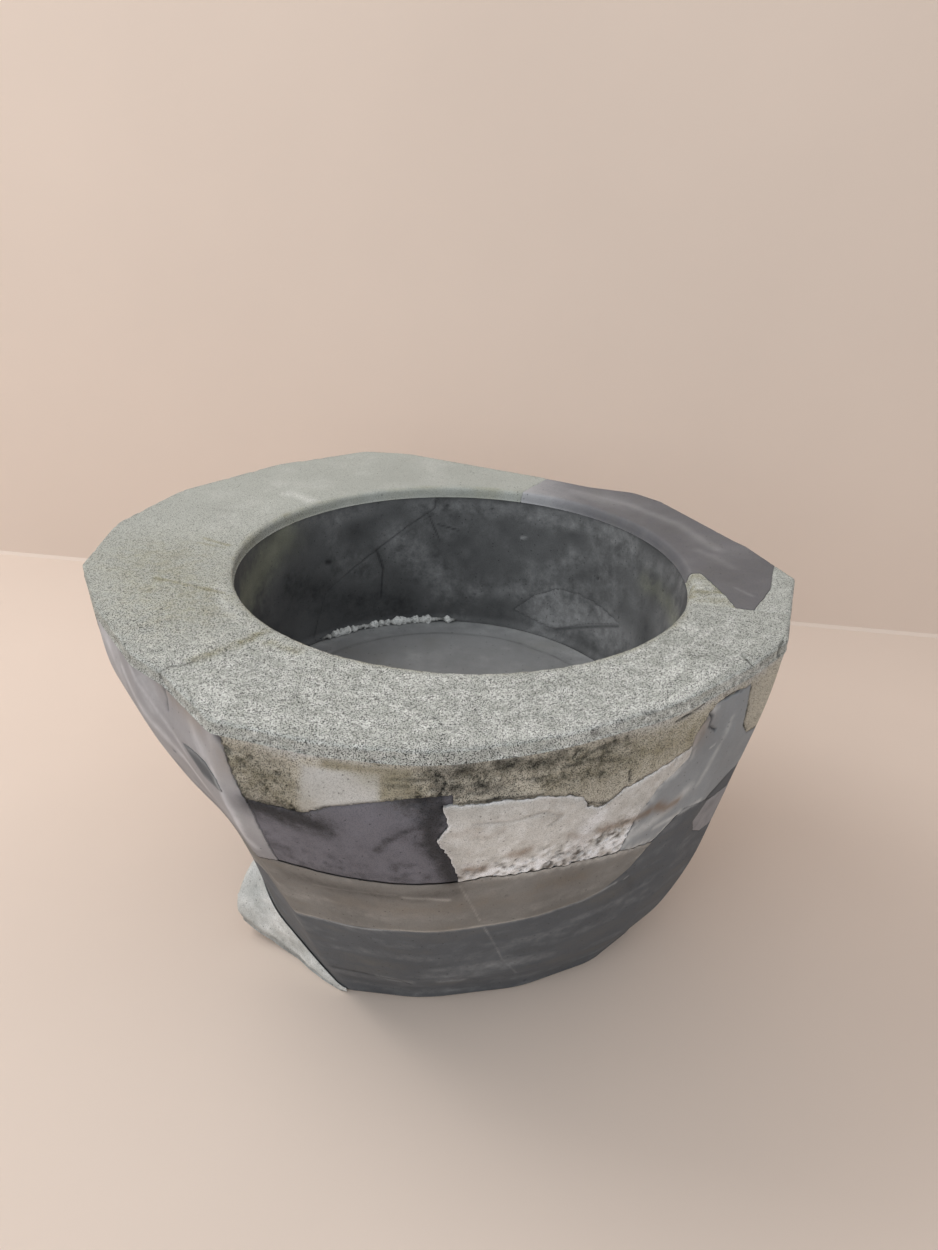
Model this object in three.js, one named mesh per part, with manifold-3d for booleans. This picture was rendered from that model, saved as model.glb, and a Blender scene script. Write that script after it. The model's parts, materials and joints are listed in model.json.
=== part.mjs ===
// A bowl planter cast in one mould from many separate pours of concrete. Millimetres, +Z up.
// Each pour is a solid of its own and meets its neighbours at an open cold joint. The pours are
// cut from the cast bowl one after another, so whatever one leaves is there for the next.
import * as THREE from 'three';
import { mergeVertices } from 'three/addons/utils/BufferGeometryUtils.js';
import Module from 'manifold-3d';

const wasm = await Module();
wasm.setup();

// ---- Driving dimensions ----

const HEIGHT = 320;
const JOINT = 0.3;
const WELL_RADIUS = 180;

// Corners of the flat rim in plan, from the centre of the mouth, in percent of the mouth's
// radius: [x, y, corner radius].
const MOUTH_PERCENT = WELL_RADIUS / 100;
const RIM_CORNERS = [
  [-164.4, -16.7, 3.3], [-145.6, -57.8, 22.2], [-121.1, -95.6, 22.2], [-105.6, -109.4, 5.6],
  [-81.7, -140, 6.7], [-46.7, -151.1, 83.3], [-7.8, -156.7, 111.1], [34.4, -143.3, 138.9],
  [77.8, -118.9, 111.1], [111.1, -87.2, 7.8], [129.4, -65.6, 13.9], [147.2, -4.4, 4.4],
  [133.3, 32.2, 1.1], [128.9, 38.9, 1.1], [101.1, 90.6, 7.8], [88.9, 102.8, 11.1],
  [65.6, 109.4, 16.7], [38.9, 123.3, 33.3], [-34.4, 155.6, 16.7], [-59.4, 157.2, 11.1],
  [-104.4, 128.3, 33.3], [-145.6, 81.1, 33.3], [-164.4, 33.3, 33.3],
];

// Corners of the foot, drawn the same way.
const FOOT_CORNERS = [
  [-87.8, -11.1, 33.3], [-77.8, -48.9, 33.3], [-46.7, -81.1, 11.1], [-11.1, -85, 66.7],
  [33.3, -75.6, 55.6], [66.7, -57.8, 33.3], [90.6, -32.2, 27.8], [93.3, 11.1, 38.9],
  [66.7, 61.1, 44.4], [0, 83.3, 50], [-61.1, 61.1, 44.4], [-86.1, 22.2, 33.3],
];
const FOOT_CHAMFER = 4;

// How far each side has drawn in from the rim (0) to the foot (1), at equal steps up the height.
const SIDES = [
  { angle: -170, drawnIn: [1, 0.89, 0.77, 0.59, 0.29, 0.055, 0] },
  { angle: -90, drawnIn: [1, 0.745, 0.53, 0.335, 0.16, 0.03, 0] },
  { angle: -12, drawnIn: [1, 0.68, 0.46, 0.325, 0.20, 0.075, 0] },
  { angle: 90, drawnIn: [1, 0.72, 0.53, 0.35, 0.18, 0.07, 0] },
];

const WELL_DEPTH = 133;
const WELL_DRAFT = 10;
const WELL_FLOOR_RADIUS = WELL_RADIUS - WELL_DRAFT;
const WELL_FLOOR_SHIFT = -12;
const WELL_FLOOR_FILLET = 6;
const SCREED_RADIUS = WELL_FLOOR_RADIUS - WELL_FLOOR_FILLET;
const MOUTH_BEVEL = 3;
const LINER_WALL = 20;
const SCREED = 15;
const DRAIN_RADIUS = 12.5;
const DRAIN_COLLAR = 32.5;

const RIM_CAP = 10;
const FOOT_POUR = 30;

// Tops of the courses that run right round: [angle, percent of the height] round the wall.
// Inside, under the well, the lowest runs level at CHARCOAL_CORE.
const PERCENT = HEIGHT / 100;
const CHARCOAL_TOP = [
  [-180, 33.8], [-150, 33.8], [-117, 38.8], [-98, 42.5], [-73, 42.5], [-60, 44.7], [-54, 50],
  [-50, 56.9], [-44, 63.4], [-37, 61.3], [-30, 57.8], [-20, 56.2], [0, 53.1], [60, 45.6], [120, 40],
];
const CHARCOAL_CORE = 40;
const TAUPE_TOP = [
  [-180, 50], [-140, 53.8], [-117, 61.9], [-100, 62.5], [-85, 63.4], [-70, 61.3], [-58, 59.1],
  [-50, 56.6], [-36, 55], [0, 55.6], [60, 60], [120, 58.1],
];
const BACK_LOWER_TOP = [[-170, 74.4], [8, 76.2], [90, 81.9]];

// Outlines of the pours between, unrolled on the wall: [angle, percent up]. Where two outlines
// overlap, the pour that is cut first keeps its edge; a side that meets the rim or the courses
// below is drawn past it.
const RIGHT_PATCH = [
  [-35, 50], [-37.5, 54.7], [-35, 59.4], [-20, 58.1], [-17, 51.2], [-23, 46.6], [-31, 46.9],
];
const RIGHT_WEDGE = [[-41, 53.1], [16, 46.9], [16, 69.4], [-20, 67.8], [-30, 65], [-36, 61.9]];
const RIGHT_PANEL = [
  [-60, 46.9], [14, 46.9], [14, 75], [-22, 75], [-31, 77.5], [-34.5, 81.9], [-37, 94.4],
  [-46, 94.4], [-49.8, 88.4], [-50, 82.5], [-56, 78.1], [-58.5, 70.3],
];
const LIME = [
  [-88.7, 46.9], [-46, 46.9], [-46, 85.9], [-51, 85], [-58, 83.8], [-64, 81.2], [-67, 78.1],
  [-70, 80], [-71, 83.1], [-77, 85.9], [-85, 86.9], [-91, 86.9], [-90.2, 81.9], [-91.8, 77.5],
  [-90, 71.9], [-88.7, 64.4],
];
const SLATE = [
  [-116.3, 46.9], [-88.4, 46.9], [-88.4, 67.2], [-89.8, 75], [-89.8, 89.4], [-95, 89.1], [-100, 87.2],
  [-105, 85], [-109, 81.9], [-112, 81.6], [-116.8, 81.9],
];
const TAN = [[-116.7, 80], [-100, 75], [-44, 75], [-44, 109.4], [-121.5, 109.4]];
const RIGHT_END = [[-60, 68.8], [13, 68.8], [13, 109.4], [-60, 109.4]];
const LEFT_PANEL = [[-168, 40.6], [-100, 40.6], [-100, 109.4], [-165, 109.4]];
const LEFT_LENS = [[-131, 85], [-127, 86.6], [-123.5, 86.9], [-121, 85], [-120.3, 82.2], [-126, 80.6]];

// Two of them are only let into the wall, this deep at their middle.
const LENS_DEPTH = 8;
const PATCH_DEPTH = 14;

// The well's lining is cast in three lifts and a lens, unrolled the same way.
const LINER_LENS = [
  [73, 63.4], [66, 69.4], [58, 73.1], [50, 73.8], [42, 73.1], [31, 71.2], [45, 66.2], [57, 60.6], [66, 61.9],
];
const LINER_LEFT = [[146, 46.9], [136, 71.6], [118, 81.9], [100, 93.1], [96, 106.2], [236, 106.2], [222, 46.9]];
const LINER_FRONT = [[-150, 46.9], [-24, 46.9], [-10, 106.2], [-136, 106.2]];

// Pours in the rim, in plan, in percent of the mouth's radius.
const RIM_INLAY = [
  [83.3, -30.6], [98.3, -34.4], [109.4, -36.1], [123.3, -38.9], [135.6, -41.1], [183.3, -48.9],
  [183.3, 144.4], [54.4, 144.4], [40, 113.9], [24.4, 88.9],
];
const LIP_PATCH = [
  [83.3, -25], [88.9, -4.4], [100.6, -1.7], [105.6, -2.2], [108.3, -11.1], [111.7, -23.3],
  [114.4, -40], [83.3, -40],
];
const END_WEDGE = [
  [117.8, -44.4], [128.3, -25.6], [133.3, -16.1], [137.2, -1.7], [142.2, 13.3], [183.3, 13.3],
  [183.3, -52.8], [117.8, -52.8],
];

// A fin of leaked grout on the left of the foot: [angle, how far it stands out, low, high].
const FIN_SECTIONS = [
  [-163, 8, 24, 58], [-160, 30, 14, 70], [-156, 35, 14, 74], [-152, 25, 9, 60], [-148, 14, 4, 47],
  [-144, 9, 1, 42], [-139, 6, 0, 34], [-133, 6, 0, 21], [-127, 4.5, 0, 13], [-121, 1, 0, 8],
];
const FIN_ROOT = 12;
const FIN_WIDEST = -0.7;
const FIN_CURVE = 1.6;

// A crumbled bead of mortar where the wall meets the screed, grown together from lumps.
const BEAD = { from: 88, to: 137, count: 13, radius: 6, wander: 1.2 };

// Spacing of the modelled facets.
const COLUMN_STEP = 6;
const SHARP_CORNER = 25;
const JOINT_FACET = 16;
const ROWS = 10;

// ---- Helpers ----

const radians = THREE.MathUtils.degToRad;

/** A point in the air at an angle in degrees, a radius and a height. */
function polar(angle, radius, height) {
  const a = radians(angle);
  return new THREE.Vector3(radius * Math.cos(a), radius * Math.sin(a), height);
}

/** Outline through rounded corners, as points. */
function roundedOutline(corners) {
  const shape = new THREE.Shape();
  corners.forEach(([x, y, radius], i) => {
    const at = new THREE.Vector2(x, y);
    const before = new THREE.Vector2(...corners.at(i - 1)).sub(at);
    const after = new THREE.Vector2(...corners[(i + 1) % corners.length]).sub(at);
    const turn = Math.PI - Math.abs(before.angleTo(after));
    const room = 0.48 * Math.min(before.length(), after.length());
    const reach = Math.min(radius * Math.tan(turn / 2), room);
    const start = at.clone().addScaledVector(before.normalize(), reach);
    const end = at.clone().addScaledVector(after.normalize(), reach);
    if (i === 0) shape.moveTo(start.x, start.y);
    else shape.lineTo(start.x, start.y);
    shape.quadraticCurveTo(x, y, end.x, end.y);
  });
  shape.closePath();
  return shape.getPoints(4);
}

/** Distance from the centre to an outline, in a direction given in degrees. */
function reachOf(outline, angle) {
  const way = new THREE.Vector2(Math.cos(radians(angle)), Math.sin(radians(angle)));
  for (let i = 0; i < outline.length; i += 1) {
    const a = outline[i];
    const edge = outline[(i + 1) % outline.length].clone().sub(a);
    const slant = way.cross(edge);
    const share = a.cross(way) / slant;
    const distance = a.cross(edge) / slant;
    if (share >= 0 && share <= 1 && distance > 0) return distance;
  }
  throw new Error(`no outline at ${angle} degrees`);
}

/** Value at an angle from [angle, value] knots round the full turn. */
function around(knots, angle) {
  const first = knots[0];
  const closed = [...knots, [first[0] + 360, first[1]]];
  const turned = first[0] + THREE.MathUtils.euclideanModulo(angle - first[0], 360);
  const i = closed.findIndex((knot) => knot[0] >= turned);
  if (i < 1) return first[1];
  const [[a0, v0], [a1, v1]] = [closed[i - 1], closed[i]];
  return THREE.MathUtils.mapLinear(turned, a0, a1, v0, v1);
}

/** Closed geometry through rings of equal count, its two ends closed by fans. */
function ringGeometry(rings) {
  const count = rings[0].length;
  const points = rings.flat();
  const index = [];
  for (let r = 0; r + 1 < rings.length; r += 1) {
    for (let i = 0; i < count; i += 1) {
      const a = r * count + i;
      const b = r * count + (i + 1) % count;
      index.push(a, b, b + count, a, b + count, a + count);
    }
  }
  [rings[0], rings.at(-1)].forEach((ring, end) => {
    const base = end * (rings.length - 1) * count;
    const middle = points.length;
    points.push(ring.reduce((sum, p) => sum.add(p), new THREE.Vector3()).divideScalar(count));
    for (let i = 0; i < count; i += 1) {
      const pair = [base + i, base + (i + 1) % count];
      index.push(middle, pair[1 - end], pair[end]);
    }
  });
  const geometry = new THREE.BufferGeometry().setFromPoints(points);
  geometry.setIndex(index);
  return geometry;
}

/** Signed volume of an indexed geometry. */
function volumeOf(geometry) {
  const at = geometry.getAttribute('position');
  const [a, b, c] = [new THREE.Vector3(), new THREE.Vector3(), new THREE.Vector3()];
  let sum = 0;
  for (let i = 0; i < geometry.index.count; i += 3) {
    a.fromBufferAttribute(at, geometry.index.getX(i));
    b.fromBufferAttribute(at, geometry.index.getX(i + 1));
    c.fromBufferAttribute(at, geometry.index.getX(i + 2));
    sum += a.dot(b.cross(c)) / 6;
  }
  return sum;
}

/** Solid from a closed geometry, turned so that its faces point out. */
function solidOf(source) {
  source.deleteAttribute('normal');
  source.deleteAttribute('uv');
  const geometry = mergeVertices(source, 1e-4);
  const triVerts = Uint32Array.from(geometry.index.array);
  if (volumeOf(geometry) < 0) triVerts.reverse();
  const vertProperties = Float32Array.from(geometry.getAttribute('position').array);
  return new wasm.Manifold(new wasm.Mesh({ numProp: 3, vertProperties, triVerts }));
}

/** Plan outline moved outwards by a distance, with mitred corners. */
function offsetOutline(outline, distance) {
  const points = outline.map(([x, y]) => new THREE.Vector2(x, y));
  const side = THREE.ShapeUtils.isClockWise(points) ? -1 : 1;
  const normals = points.map((p, i) => {
    const edge = points[(i + 1) % points.length].clone().sub(p).normalize();
    return new THREE.Vector2(edge.y, -edge.x).multiplyScalar(side);
  });
  return points.map((p, i) => {
    const before = normals.at(i - 1);
    const mitre = before.clone().add(normals[i]);
    return p.clone().addScaledVector(mitre, distance / (1 + before.dot(normals[i])));
  });
}

/** The same outline with its long edges divided. */
function refined(outline) {
  return outline.flatMap(([x, y], i) => {
    const [nextX, nextY] = outline[(i + 1) % outline.length];
    const steps = Math.ceil(Math.abs(nextX - x) / JOINT_FACET) || 1;
    const { lerp } = THREE.MathUtils;
    return Array.from({ length: steps }, (_, k) => [lerp(x, nextX, k / steps), lerp(y, nextY, k / steps)]);
  });
}

// ---- The cast bowl ----

const spread = (table) => table.map((row) => row.map((value) => value * MOUTH_PERCENT));
const rimOutline = roundedOutline(spread(RIM_CORNERS));
const footOutline = roundedOutline(spread(FOOT_CORNERS));
const columns = columnAngles();
const flares = SIDES.map(({ drawnIn }) => new THREE.SplineCurve(
  drawnIn.map((share, i) => new THREE.Vector2(share, i)),
));

/** Angles of the modelled columns: an even spread, moved onto the rim's sharp corners. */
function columnAngles() {
  const corners = RIM_CORNERS.filter((corner) => corner[2] <= SHARP_CORNER)
    .map(([x, y]) => THREE.MathUtils.radToDeg(Math.atan2(y, x)));
  const even = Array.from({ length: 360 / COLUMN_STEP }, (_, i) => -180 + i * COLUMN_STEP)
    .filter((angle) => corners.every((corner) => Math.abs(corner - angle) > COLUMN_STEP / 3));
  return [...even, ...corners].sort((a, b) => a - b);
}

/** Share drawn in at an angle and height, blended smoothly from one side to the next. */
function drawnIn(angle, height) {
  const step = THREE.MathUtils.clamp(height / HEIGHT, 0, 1);
  const turned = SIDES[0].angle + THREE.MathUtils.euclideanModulo(angle - SIDES[0].angle, 360);
  const last = SIDES.length - 1;
  const i = SIDES.findLastIndex((side) => side.angle <= turned);
  const next = i === last ? SIDES[0].angle + 360 : SIDES[i + 1].angle;
  const share = (turned - SIDES[i].angle) / (next - SIDES[i].angle);
  const blend = (1 - Math.cos(Math.PI * share)) / 2;
  const here = flares[i].getPoint(step).x;
  const there = flares[i === last ? 0 : i + 1].getPoint(step).x;
  return THREE.MathUtils.lerp(here, there, blend);
}

/** Radius of the outside at an angle and height. */
function outside(angle, height) {
  return THREE.MathUtils.lerp(
    reachOf(rimOutline, angle), reachOf(footOutline, angle), drawnIn(angle, height),
  );
}

/** The bowl's outer form, or that form grown evenly. */
function outerForm(grow = 0) {
  const heights = Array.from({ length: ROWS + 1 }, (_, i) => HEIGHT * i / ROWS);
  const ring = (height, inset) => columns.map(
    (angle) => polar(angle, outside(angle, height) - inset + grow, height),
  );
  const foot = ring(0, FOOT_CHAMFER);
  const rings = [foot, ring(FOOT_CHAMFER, 0), ...heights.slice(1).map((height) => ring(height, 0))];
  if (grow > 0) rings.unshift(foot.map((p) => p.clone().setZ(-grow)));
  return solidOf(ringGeometry(rings));
}

/** The well: a shallow tapered bore whose floor sits a little to the left of its mouth. */
function wellForm() {
  const floor = HEIGHT - WELL_DEPTH;
  const above = HEIGHT + MOUTH_BEVEL;
  const profile = new THREE.Path();
  profile.moveTo(0, floor);
  profile.lineTo(SCREED_RADIUS, floor);
  profile.quadraticCurveTo(WELL_FLOOR_RADIUS, floor, WELL_FLOOR_RADIUS, floor + WELL_FLOOR_FILLET);
  profile.lineTo(WELL_RADIUS, HEIGHT - MOUTH_BEVEL);
  profile.lineTo(WELL_RADIUS + 2 * MOUTH_BEVEL, above);
  profile.lineTo(0, above);
  const geometry = new THREE.LatheGeometry(profile.getPoints(3), 360 / COLUMN_STEP);
  geometry.rotateX(Math.PI / 2);
  const at = geometry.getAttribute('position');
  for (let i = 0; i < at.count; i += 1) {
    const depth = THREE.MathUtils.clamp((HEIGHT - at.getZ(i)) / WELL_DEPTH, 0, 1);
    at.setX(i, at.getX(i) + WELL_FLOOR_SHIFT * depth);
  }
  return solidOf(geometry);
}

/** An upright round bar between two heights. */
function bar(radius, low, high, x = 0, sides = 72) {
  const geometry = new THREE.CylinderGeometry(radius, radius, high - low, sides);
  geometry.rotateX(Math.PI / 2);
  geometry.translate(x, 0, (low + high) / 2);
  return solidOf(geometry);
}

// ---- Cutters: each takes how much it grows ----

const FAR = 500;
const WALL_REACH = MOUTH_PERCENT * Math.max(...RIM_CORNERS.map(([x, y]) => Math.hypot(x, y)));

/** Everything below a level that is flat under the lining and then runs to a line on the wall. */
function belowCourse(knots, core) {
  const wellWall = WELL_RADIUS + LINER_WALL;
  return (grow) => {
    const ring = (radius, heightAt) => columns.map((angle) => polar(angle, radius, heightAt(angle)));
    const line = (angle) => around(knots, angle) * PERCENT + grow;
    return solidOf(ringGeometry([
      ring(FAR, () => -FAR), ring(FAR, line), ring(wellWall + LINER_WALL / 2, line),
      ring(wellWall + 2 * JOINT, () => core + grow),
    ]));
  };
}

/** Everything inside a plan outline between two heights. */
function insidePlan(outline, low, high) {
  return (grow) => {
    const shape = new THREE.Shape(offsetOutline(outline, grow));
    const depth = high - low + 2 * grow;
    const geometry = new THREE.ExtrudeGeometry(shape, { depth, bevelEnabled: false });
    geometry.translate(0, 0, low - grow);
    return solidOf(geometry);
  };
}

/** Everything inside an outline unrolled on the wall, from an inner radius to past an outer one. */
function bay(outline, inner = WELL_RADIUS + LINER_WALL - JOINT, outer = WALL_REACH) {
  const unrolled = refined(outline.map(([angle, height]) => [radians(angle) * inner, height * PERCENT]));
  const arcs = unrolled.map((point) => point[0]);
  const halfSpan = (Math.max(...arcs) - Math.min(...arcs)) / inner / 2;
  const depth = outer / Math.cos(halfSpan) - inner;
  return (grow) => {
    const shape = new THREE.Shape(offsetOutline(unrolled, grow));
    const geometry = new THREE.ExtrudeGeometry(shape, { depth, steps: 2, bevelEnabled: false });
    const at = geometry.getAttribute('position');
    for (let i = 0; i < at.count; i += 1) {
      const angle = THREE.MathUtils.radToDeg(at.getX(i) / inner);
      const bent = polar(angle, inner - grow + at.getZ(i), at.getY(i));
      at.setXYZ(i, bent.x, bent.y, bent.z);
    }
    return solidOf(geometry);
  };
}

/** The same, but only let into the wall by a depth at its middle. */
function shallowBay(outline, depth) {
  const through = bay(outline);
  const middle = (axis) => outline.reduce((sum, point) => sum + point[axis], 0) / outline.length;
  const root = outside(middle(0), middle(1) * PERCENT) - depth;
  return (grow) => through(grow).subtract(bar(root - grow, -FAR, FAR));
}

/** Cut one pour out of what is left of the cast; returns the pour and the new remainder. */
function pour(body, cutter) {
  return [body.intersect(cutter(0)), body.subtract(cutter(JOINT))];
}

// ---- Pieces that are added ----

/** The leaked fin: a swollen ribbon that follows the wall and fades out along the foot. */
function finForm() {
  const rings = FIN_SECTIONS.map(([angle, out, low, high]) => {
    const middle = (low + high) / 2;
    const half = (high - low) / 2;
    const root = (height) => outside(angle, height) - FIN_ROOT;
    const face = [-1, -0.8, -0.4, 0, 0.4, 0.8, 1].map((t) => {
      const height = middle + half * t;
      const swell = out * (1 - Math.abs((t - FIN_WIDEST) / (1 - FIN_WIDEST)) ** FIN_CURVE);
      return polar(angle, outside(angle, height) + swell, height);
    });
    return [...face, polar(angle, root(high), high), polar(angle, root(low), low)];
  });
  return solidOf(ringGeometry(rings)).subtract(outerForm(JOINT));
}

/** The crumbled bead: a chain of lumps grown together along the floor's edge. */
function beadForm() {
  const floor = HEIGHT - WELL_DEPTH + JOINT;
  const line = SCREED_RADIUS + WELL_FLOOR_FILLET / 2 - BEAD.radius;
  const lumps = Array.from({ length: BEAD.count }, (_, i) => {
    const angle = THREE.MathUtils.lerp(BEAD.from, BEAD.to, i / (BEAD.count - 1));
    const size = BEAD.radius * (1.25 + 0.2 * Math.sin(2.3 * i));
    const lump = new THREE.IcosahedronGeometry(size, 1);
    lump.rotateZ(1.7 * i);
    const at = polar(angle, line + BEAD.wander * Math.sin(3.1 * i), floor);
    lump.translate(at.x + WELL_FLOOR_SHIFT, at.y, floor);
    return solidOf(lump);
  });
  const chain = lumps.reduce((sum, lump) => sum.add(lump));
  const room = bar(SCREED_RADIUS, floor, HEIGHT, WELL_FLOOR_SHIFT);
  return chain.intersect(room);
}

// ---- Casting order ----

const wellFloor = HEIGHT - WELL_DEPTH;
const screedFoot = wellFloor - SCREED;
const capFoot = HEIGHT - RIM_CAP;

const bowl = outerForm().subtract(wellForm()).subtract(bar(DRAIN_RADIUS, -FAR, HEIGHT, 0, 24));

const capCut = (grow) => bar(FAR, capFoot - grow, FAR);
const [capLevel, belowCap] = pour(bowl, capCut);
const [inlayLevel, rimCap] = pour(capLevel, insidePlan(spread(RIM_INLAY), 0, FAR));
const [lipPatch, inlayRest] = pour(inlayLevel, insidePlan(spread(LIP_PATCH), 0, FAR));
const [endWedge, rimInlay] = pour(inlayRest, insidePlan(spread(END_WEDGE), 0, FAR));

const liningCut = (grow) => bar(WELL_RADIUS + LINER_WALL + grow, screedFoot - grow, FAR);
const [lining, wallAndBase] = pour(belowCap, liningCut);
const screedCut = (grow) => bar(SCREED_RADIUS + grow, 0, wellFloor + grow, WELL_FLOOR_SHIFT);
const [screed, liner] = pour(lining, screedCut);
const insideWell = WELL_FLOOR_RADIUS * 0.8;
const liningBay = (outline) => bay(outline, insideWell, WELL_RADIUS + LINER_WALL);
const [linerLens, liner1] = pour(liner, liningBay(LINER_LENS));
const [linerLeft, liner2] = pour(liner1, liningBay(LINER_LEFT));
const [linerFront, linerBack] = pour(liner2, liningBay(LINER_FRONT));

const collarCut = (grow) => bar(DRAIN_RADIUS + DRAIN_COLLAR + grow, -FAR, FAR, 0, 24);
const [drainCollar, base] = pour(wallAndBase, collarCut);
const footCut = (grow) => bar(FAR, -FAR, FOOT_POUR + grow);
const [footPour, wall] = pour(base, footCut);
const [rightPatch, wall1] = pour(wall, shallowBay(RIGHT_PATCH, PATCH_DEPTH));
const [charcoal, wall2] = pour(wall1, belowCourse(CHARCOAL_TOP, CHARCOAL_CORE * PERCENT));
const [taupe, wall3] = pour(wall2, belowCourse(TAUPE_TOP, screedFoot));
const [leftLens, wall4] = pour(wall3, shallowBay(LEFT_LENS, LENS_DEPTH));
const [rightWedge, wall5] = pour(wall4, bay(RIGHT_WEDGE));
const [rightPanel, wall6] = pour(wall5, bay(RIGHT_PANEL));
const [lime, wall7] = pour(wall6, bay(LIME));
const [slate, wall8] = pour(wall7, bay(SLATE));
const [tan, wall9] = pour(wall8, bay(TAN));
const [rightEnd, wall10] = pour(wall9, bay(RIGHT_END));
const [leftPanel, wall11] = pour(wall10, bay(LEFT_PANEL));
const [backLower, backUpper] = pour(wall11, belowCourse(BACK_LOWER_TOP, screedFoot));

const castings = {
  foot_pour: [footPour, 0x4b4d50],
  charcoal_course: [charcoal, 0x54575b],
  taupe_course: [taupe, 0x7c756d],
  slate_patch: [slate, 0x5d5b66],
  lime_patch: [lime, 0xbab4ab],
  tan_course: [tan, 0x7f7a68],
  left_panel: [leftPanel, 0x9b9aa0],
  left_lens: [leftLens, 0x5a5d5f],
  right_panel: [rightPanel, 0x83878b],
  right_end: [rightEnd, 0x7a7064],
  right_wedge: [rightWedge, 0x5d6266],
  right_patch: [rightPatch, 0x9aa0a4],
  back_lower_course: [backLower, 0x77767a],
  back_upper_course: [backUpper, 0x85877c],
  rim_cap: [rimCap, 0xa3a89b],
  rim_inlay: [rimInlay, 0x6a6e73],
  rim_end_wedge: [endWedge, 0xa9ada0],
  lip_patch: [lipPatch, 0xb0b1a0],
  liner_left: [linerLeft, 0x515253],
  liner_back: [linerBack, 0x4f5052],
  liner_front: [linerFront, 0x5c5d5c],
  liner_lens: [linerLens, 0x67686a],
  well_floor: [screed, 0x7e7f7f],
  drain_collar: [drainCollar, 0x8f908c],
  mortar_bead: [beadForm(), 0xa5a6a3],
  leak_fin: [finForm(), 0xa9b0a8],
};

// ---- The scene graph ----

/** Faces of a solid as indexed geometry. */
function geometryOf(solid) {
  const { vertProperties, triVerts } = solid.getMesh();
  const geometry = new THREE.BufferGeometry();
  geometry.setAttribute('position', new THREE.BufferAttribute(vertProperties, 3));
  geometry.setIndex(new THREE.BufferAttribute(triVerts, 1));
  return geometry;
}

/** Group of all pours, moved so that the rim's box is centred over the origin. */
function assemble() {
  const group = new THREE.Group();
  for (const [name, [solid, color]] of Object.entries(castings)) {
    const material = new THREE.MeshStandardMaterial({ color, roughness: 0.9, metalness: 0 });
    const mesh = new THREE.Mesh(geometryOf(solid), material);
    mesh.name = name;
    group.add(mesh);
  }
  const box = new THREE.Box2().setFromPoints(columns.map((angle) => {
    const p = polar(angle, reachOf(rimOutline, angle), 0);
    return new THREE.Vector2(p.x, p.y);
  }));
  const middle = box.getCenter(new THREE.Vector2());
  group.position.set(-middle.x, -middle.y, 0);
  return group;
}

export default assemble();
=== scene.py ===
"""Concrete bowl planter: gives the packed pours their cast surfaces, joints, pits and finishes."""

import json
import math

import bpy
import numpy as np
from bpy.props import FloatProperty, FloatVectorProperty, PointerProperty
from bpy.types import Operator, Panel, PropertyGroup
from mathutils import Euler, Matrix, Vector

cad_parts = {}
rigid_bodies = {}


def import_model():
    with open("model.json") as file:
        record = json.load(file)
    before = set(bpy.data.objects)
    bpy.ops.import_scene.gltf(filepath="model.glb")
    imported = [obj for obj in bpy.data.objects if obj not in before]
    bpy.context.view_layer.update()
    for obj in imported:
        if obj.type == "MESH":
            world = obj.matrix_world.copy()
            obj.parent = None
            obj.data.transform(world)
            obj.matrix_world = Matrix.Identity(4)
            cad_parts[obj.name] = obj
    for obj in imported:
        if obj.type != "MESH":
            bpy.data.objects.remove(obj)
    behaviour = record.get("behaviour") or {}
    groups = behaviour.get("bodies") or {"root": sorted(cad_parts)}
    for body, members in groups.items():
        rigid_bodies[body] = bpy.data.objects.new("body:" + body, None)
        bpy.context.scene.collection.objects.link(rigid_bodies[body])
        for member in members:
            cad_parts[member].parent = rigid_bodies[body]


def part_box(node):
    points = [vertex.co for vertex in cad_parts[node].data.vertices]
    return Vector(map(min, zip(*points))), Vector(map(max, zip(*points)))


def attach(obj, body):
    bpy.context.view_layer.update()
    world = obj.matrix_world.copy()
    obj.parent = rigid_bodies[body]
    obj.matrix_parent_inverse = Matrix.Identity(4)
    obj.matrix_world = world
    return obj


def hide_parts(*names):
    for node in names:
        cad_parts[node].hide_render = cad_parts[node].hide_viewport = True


bl_info = {
    "name": "Concrete Bowl Planter",
    "version": (1, 0, 0),
    "blender": (4, 5, 0),
    "location": "3D View > Sidebar > Bowl Planter",
    "description": "Builds the surfaces and finishes of a bowl planter cast from many concretes",
    "category": "Add Mesh",
}

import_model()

# ---- Places, in millimetres round the centre of the mouth ----

MM = 0.001
LINING_BOX = np.array([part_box(node) for node in ("liner_left", "liner_back", "liner_front")])
MOUTH_CENTRE = (LINING_BOX[:, 0, :2].min(0) + LINING_BOX[:, 1, :2].max(0)) / 2
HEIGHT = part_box("rim_cap")[1][2] / MM
CAP_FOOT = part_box("rim_cap")[0][2] / MM
FOOT_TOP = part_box("foot_pour")[1][2] / MM
FLOOR_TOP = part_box("well_floor")[1][2] / MM
LINING_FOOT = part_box("well_floor")[0][2] / MM
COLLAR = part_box("drain_collar")[1][0] / MM - MOUTH_CENTRE[0] / MM
WELL_DEPTH = HEIGHT - FLOOR_TOP
# Radii: back of the lining, mouth, foot of the well, screed and drain hole.
LINING_BACK, MOUTH, WELL_BOTTOM, SCREED_EDGE, DRAIN = 200.0, 180.0, 170.0, 164.0, 12.5
# The well's floor lies this far to one side of its mouth.
WELL_SHIFT = -12.0
LIP, FILLET, FOOT_CHAMFER = 3.0, 6.0, 4.0
# Height of the two lowest courses' joint at the drain's collar, and width of an open joint.
CORE, GAP = 128.0, 0.3
# Millimetres to a degree, for outlines that are drawn unrolled: wall, lining and rim.
WALL_ARC = 4.4
LINING_ARC = 3.1
RIM_ARC = 4.2
# Two faces that meet at more than this angle, in degrees, keep a sharp edge.
SHARP = 55
# Channels of the colour attribute: lime bloom, dark places together with painted shade, stains and
# the amount of sand grain.
BLOOM, DARK, STAIN, GRAIN = range(4)

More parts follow.
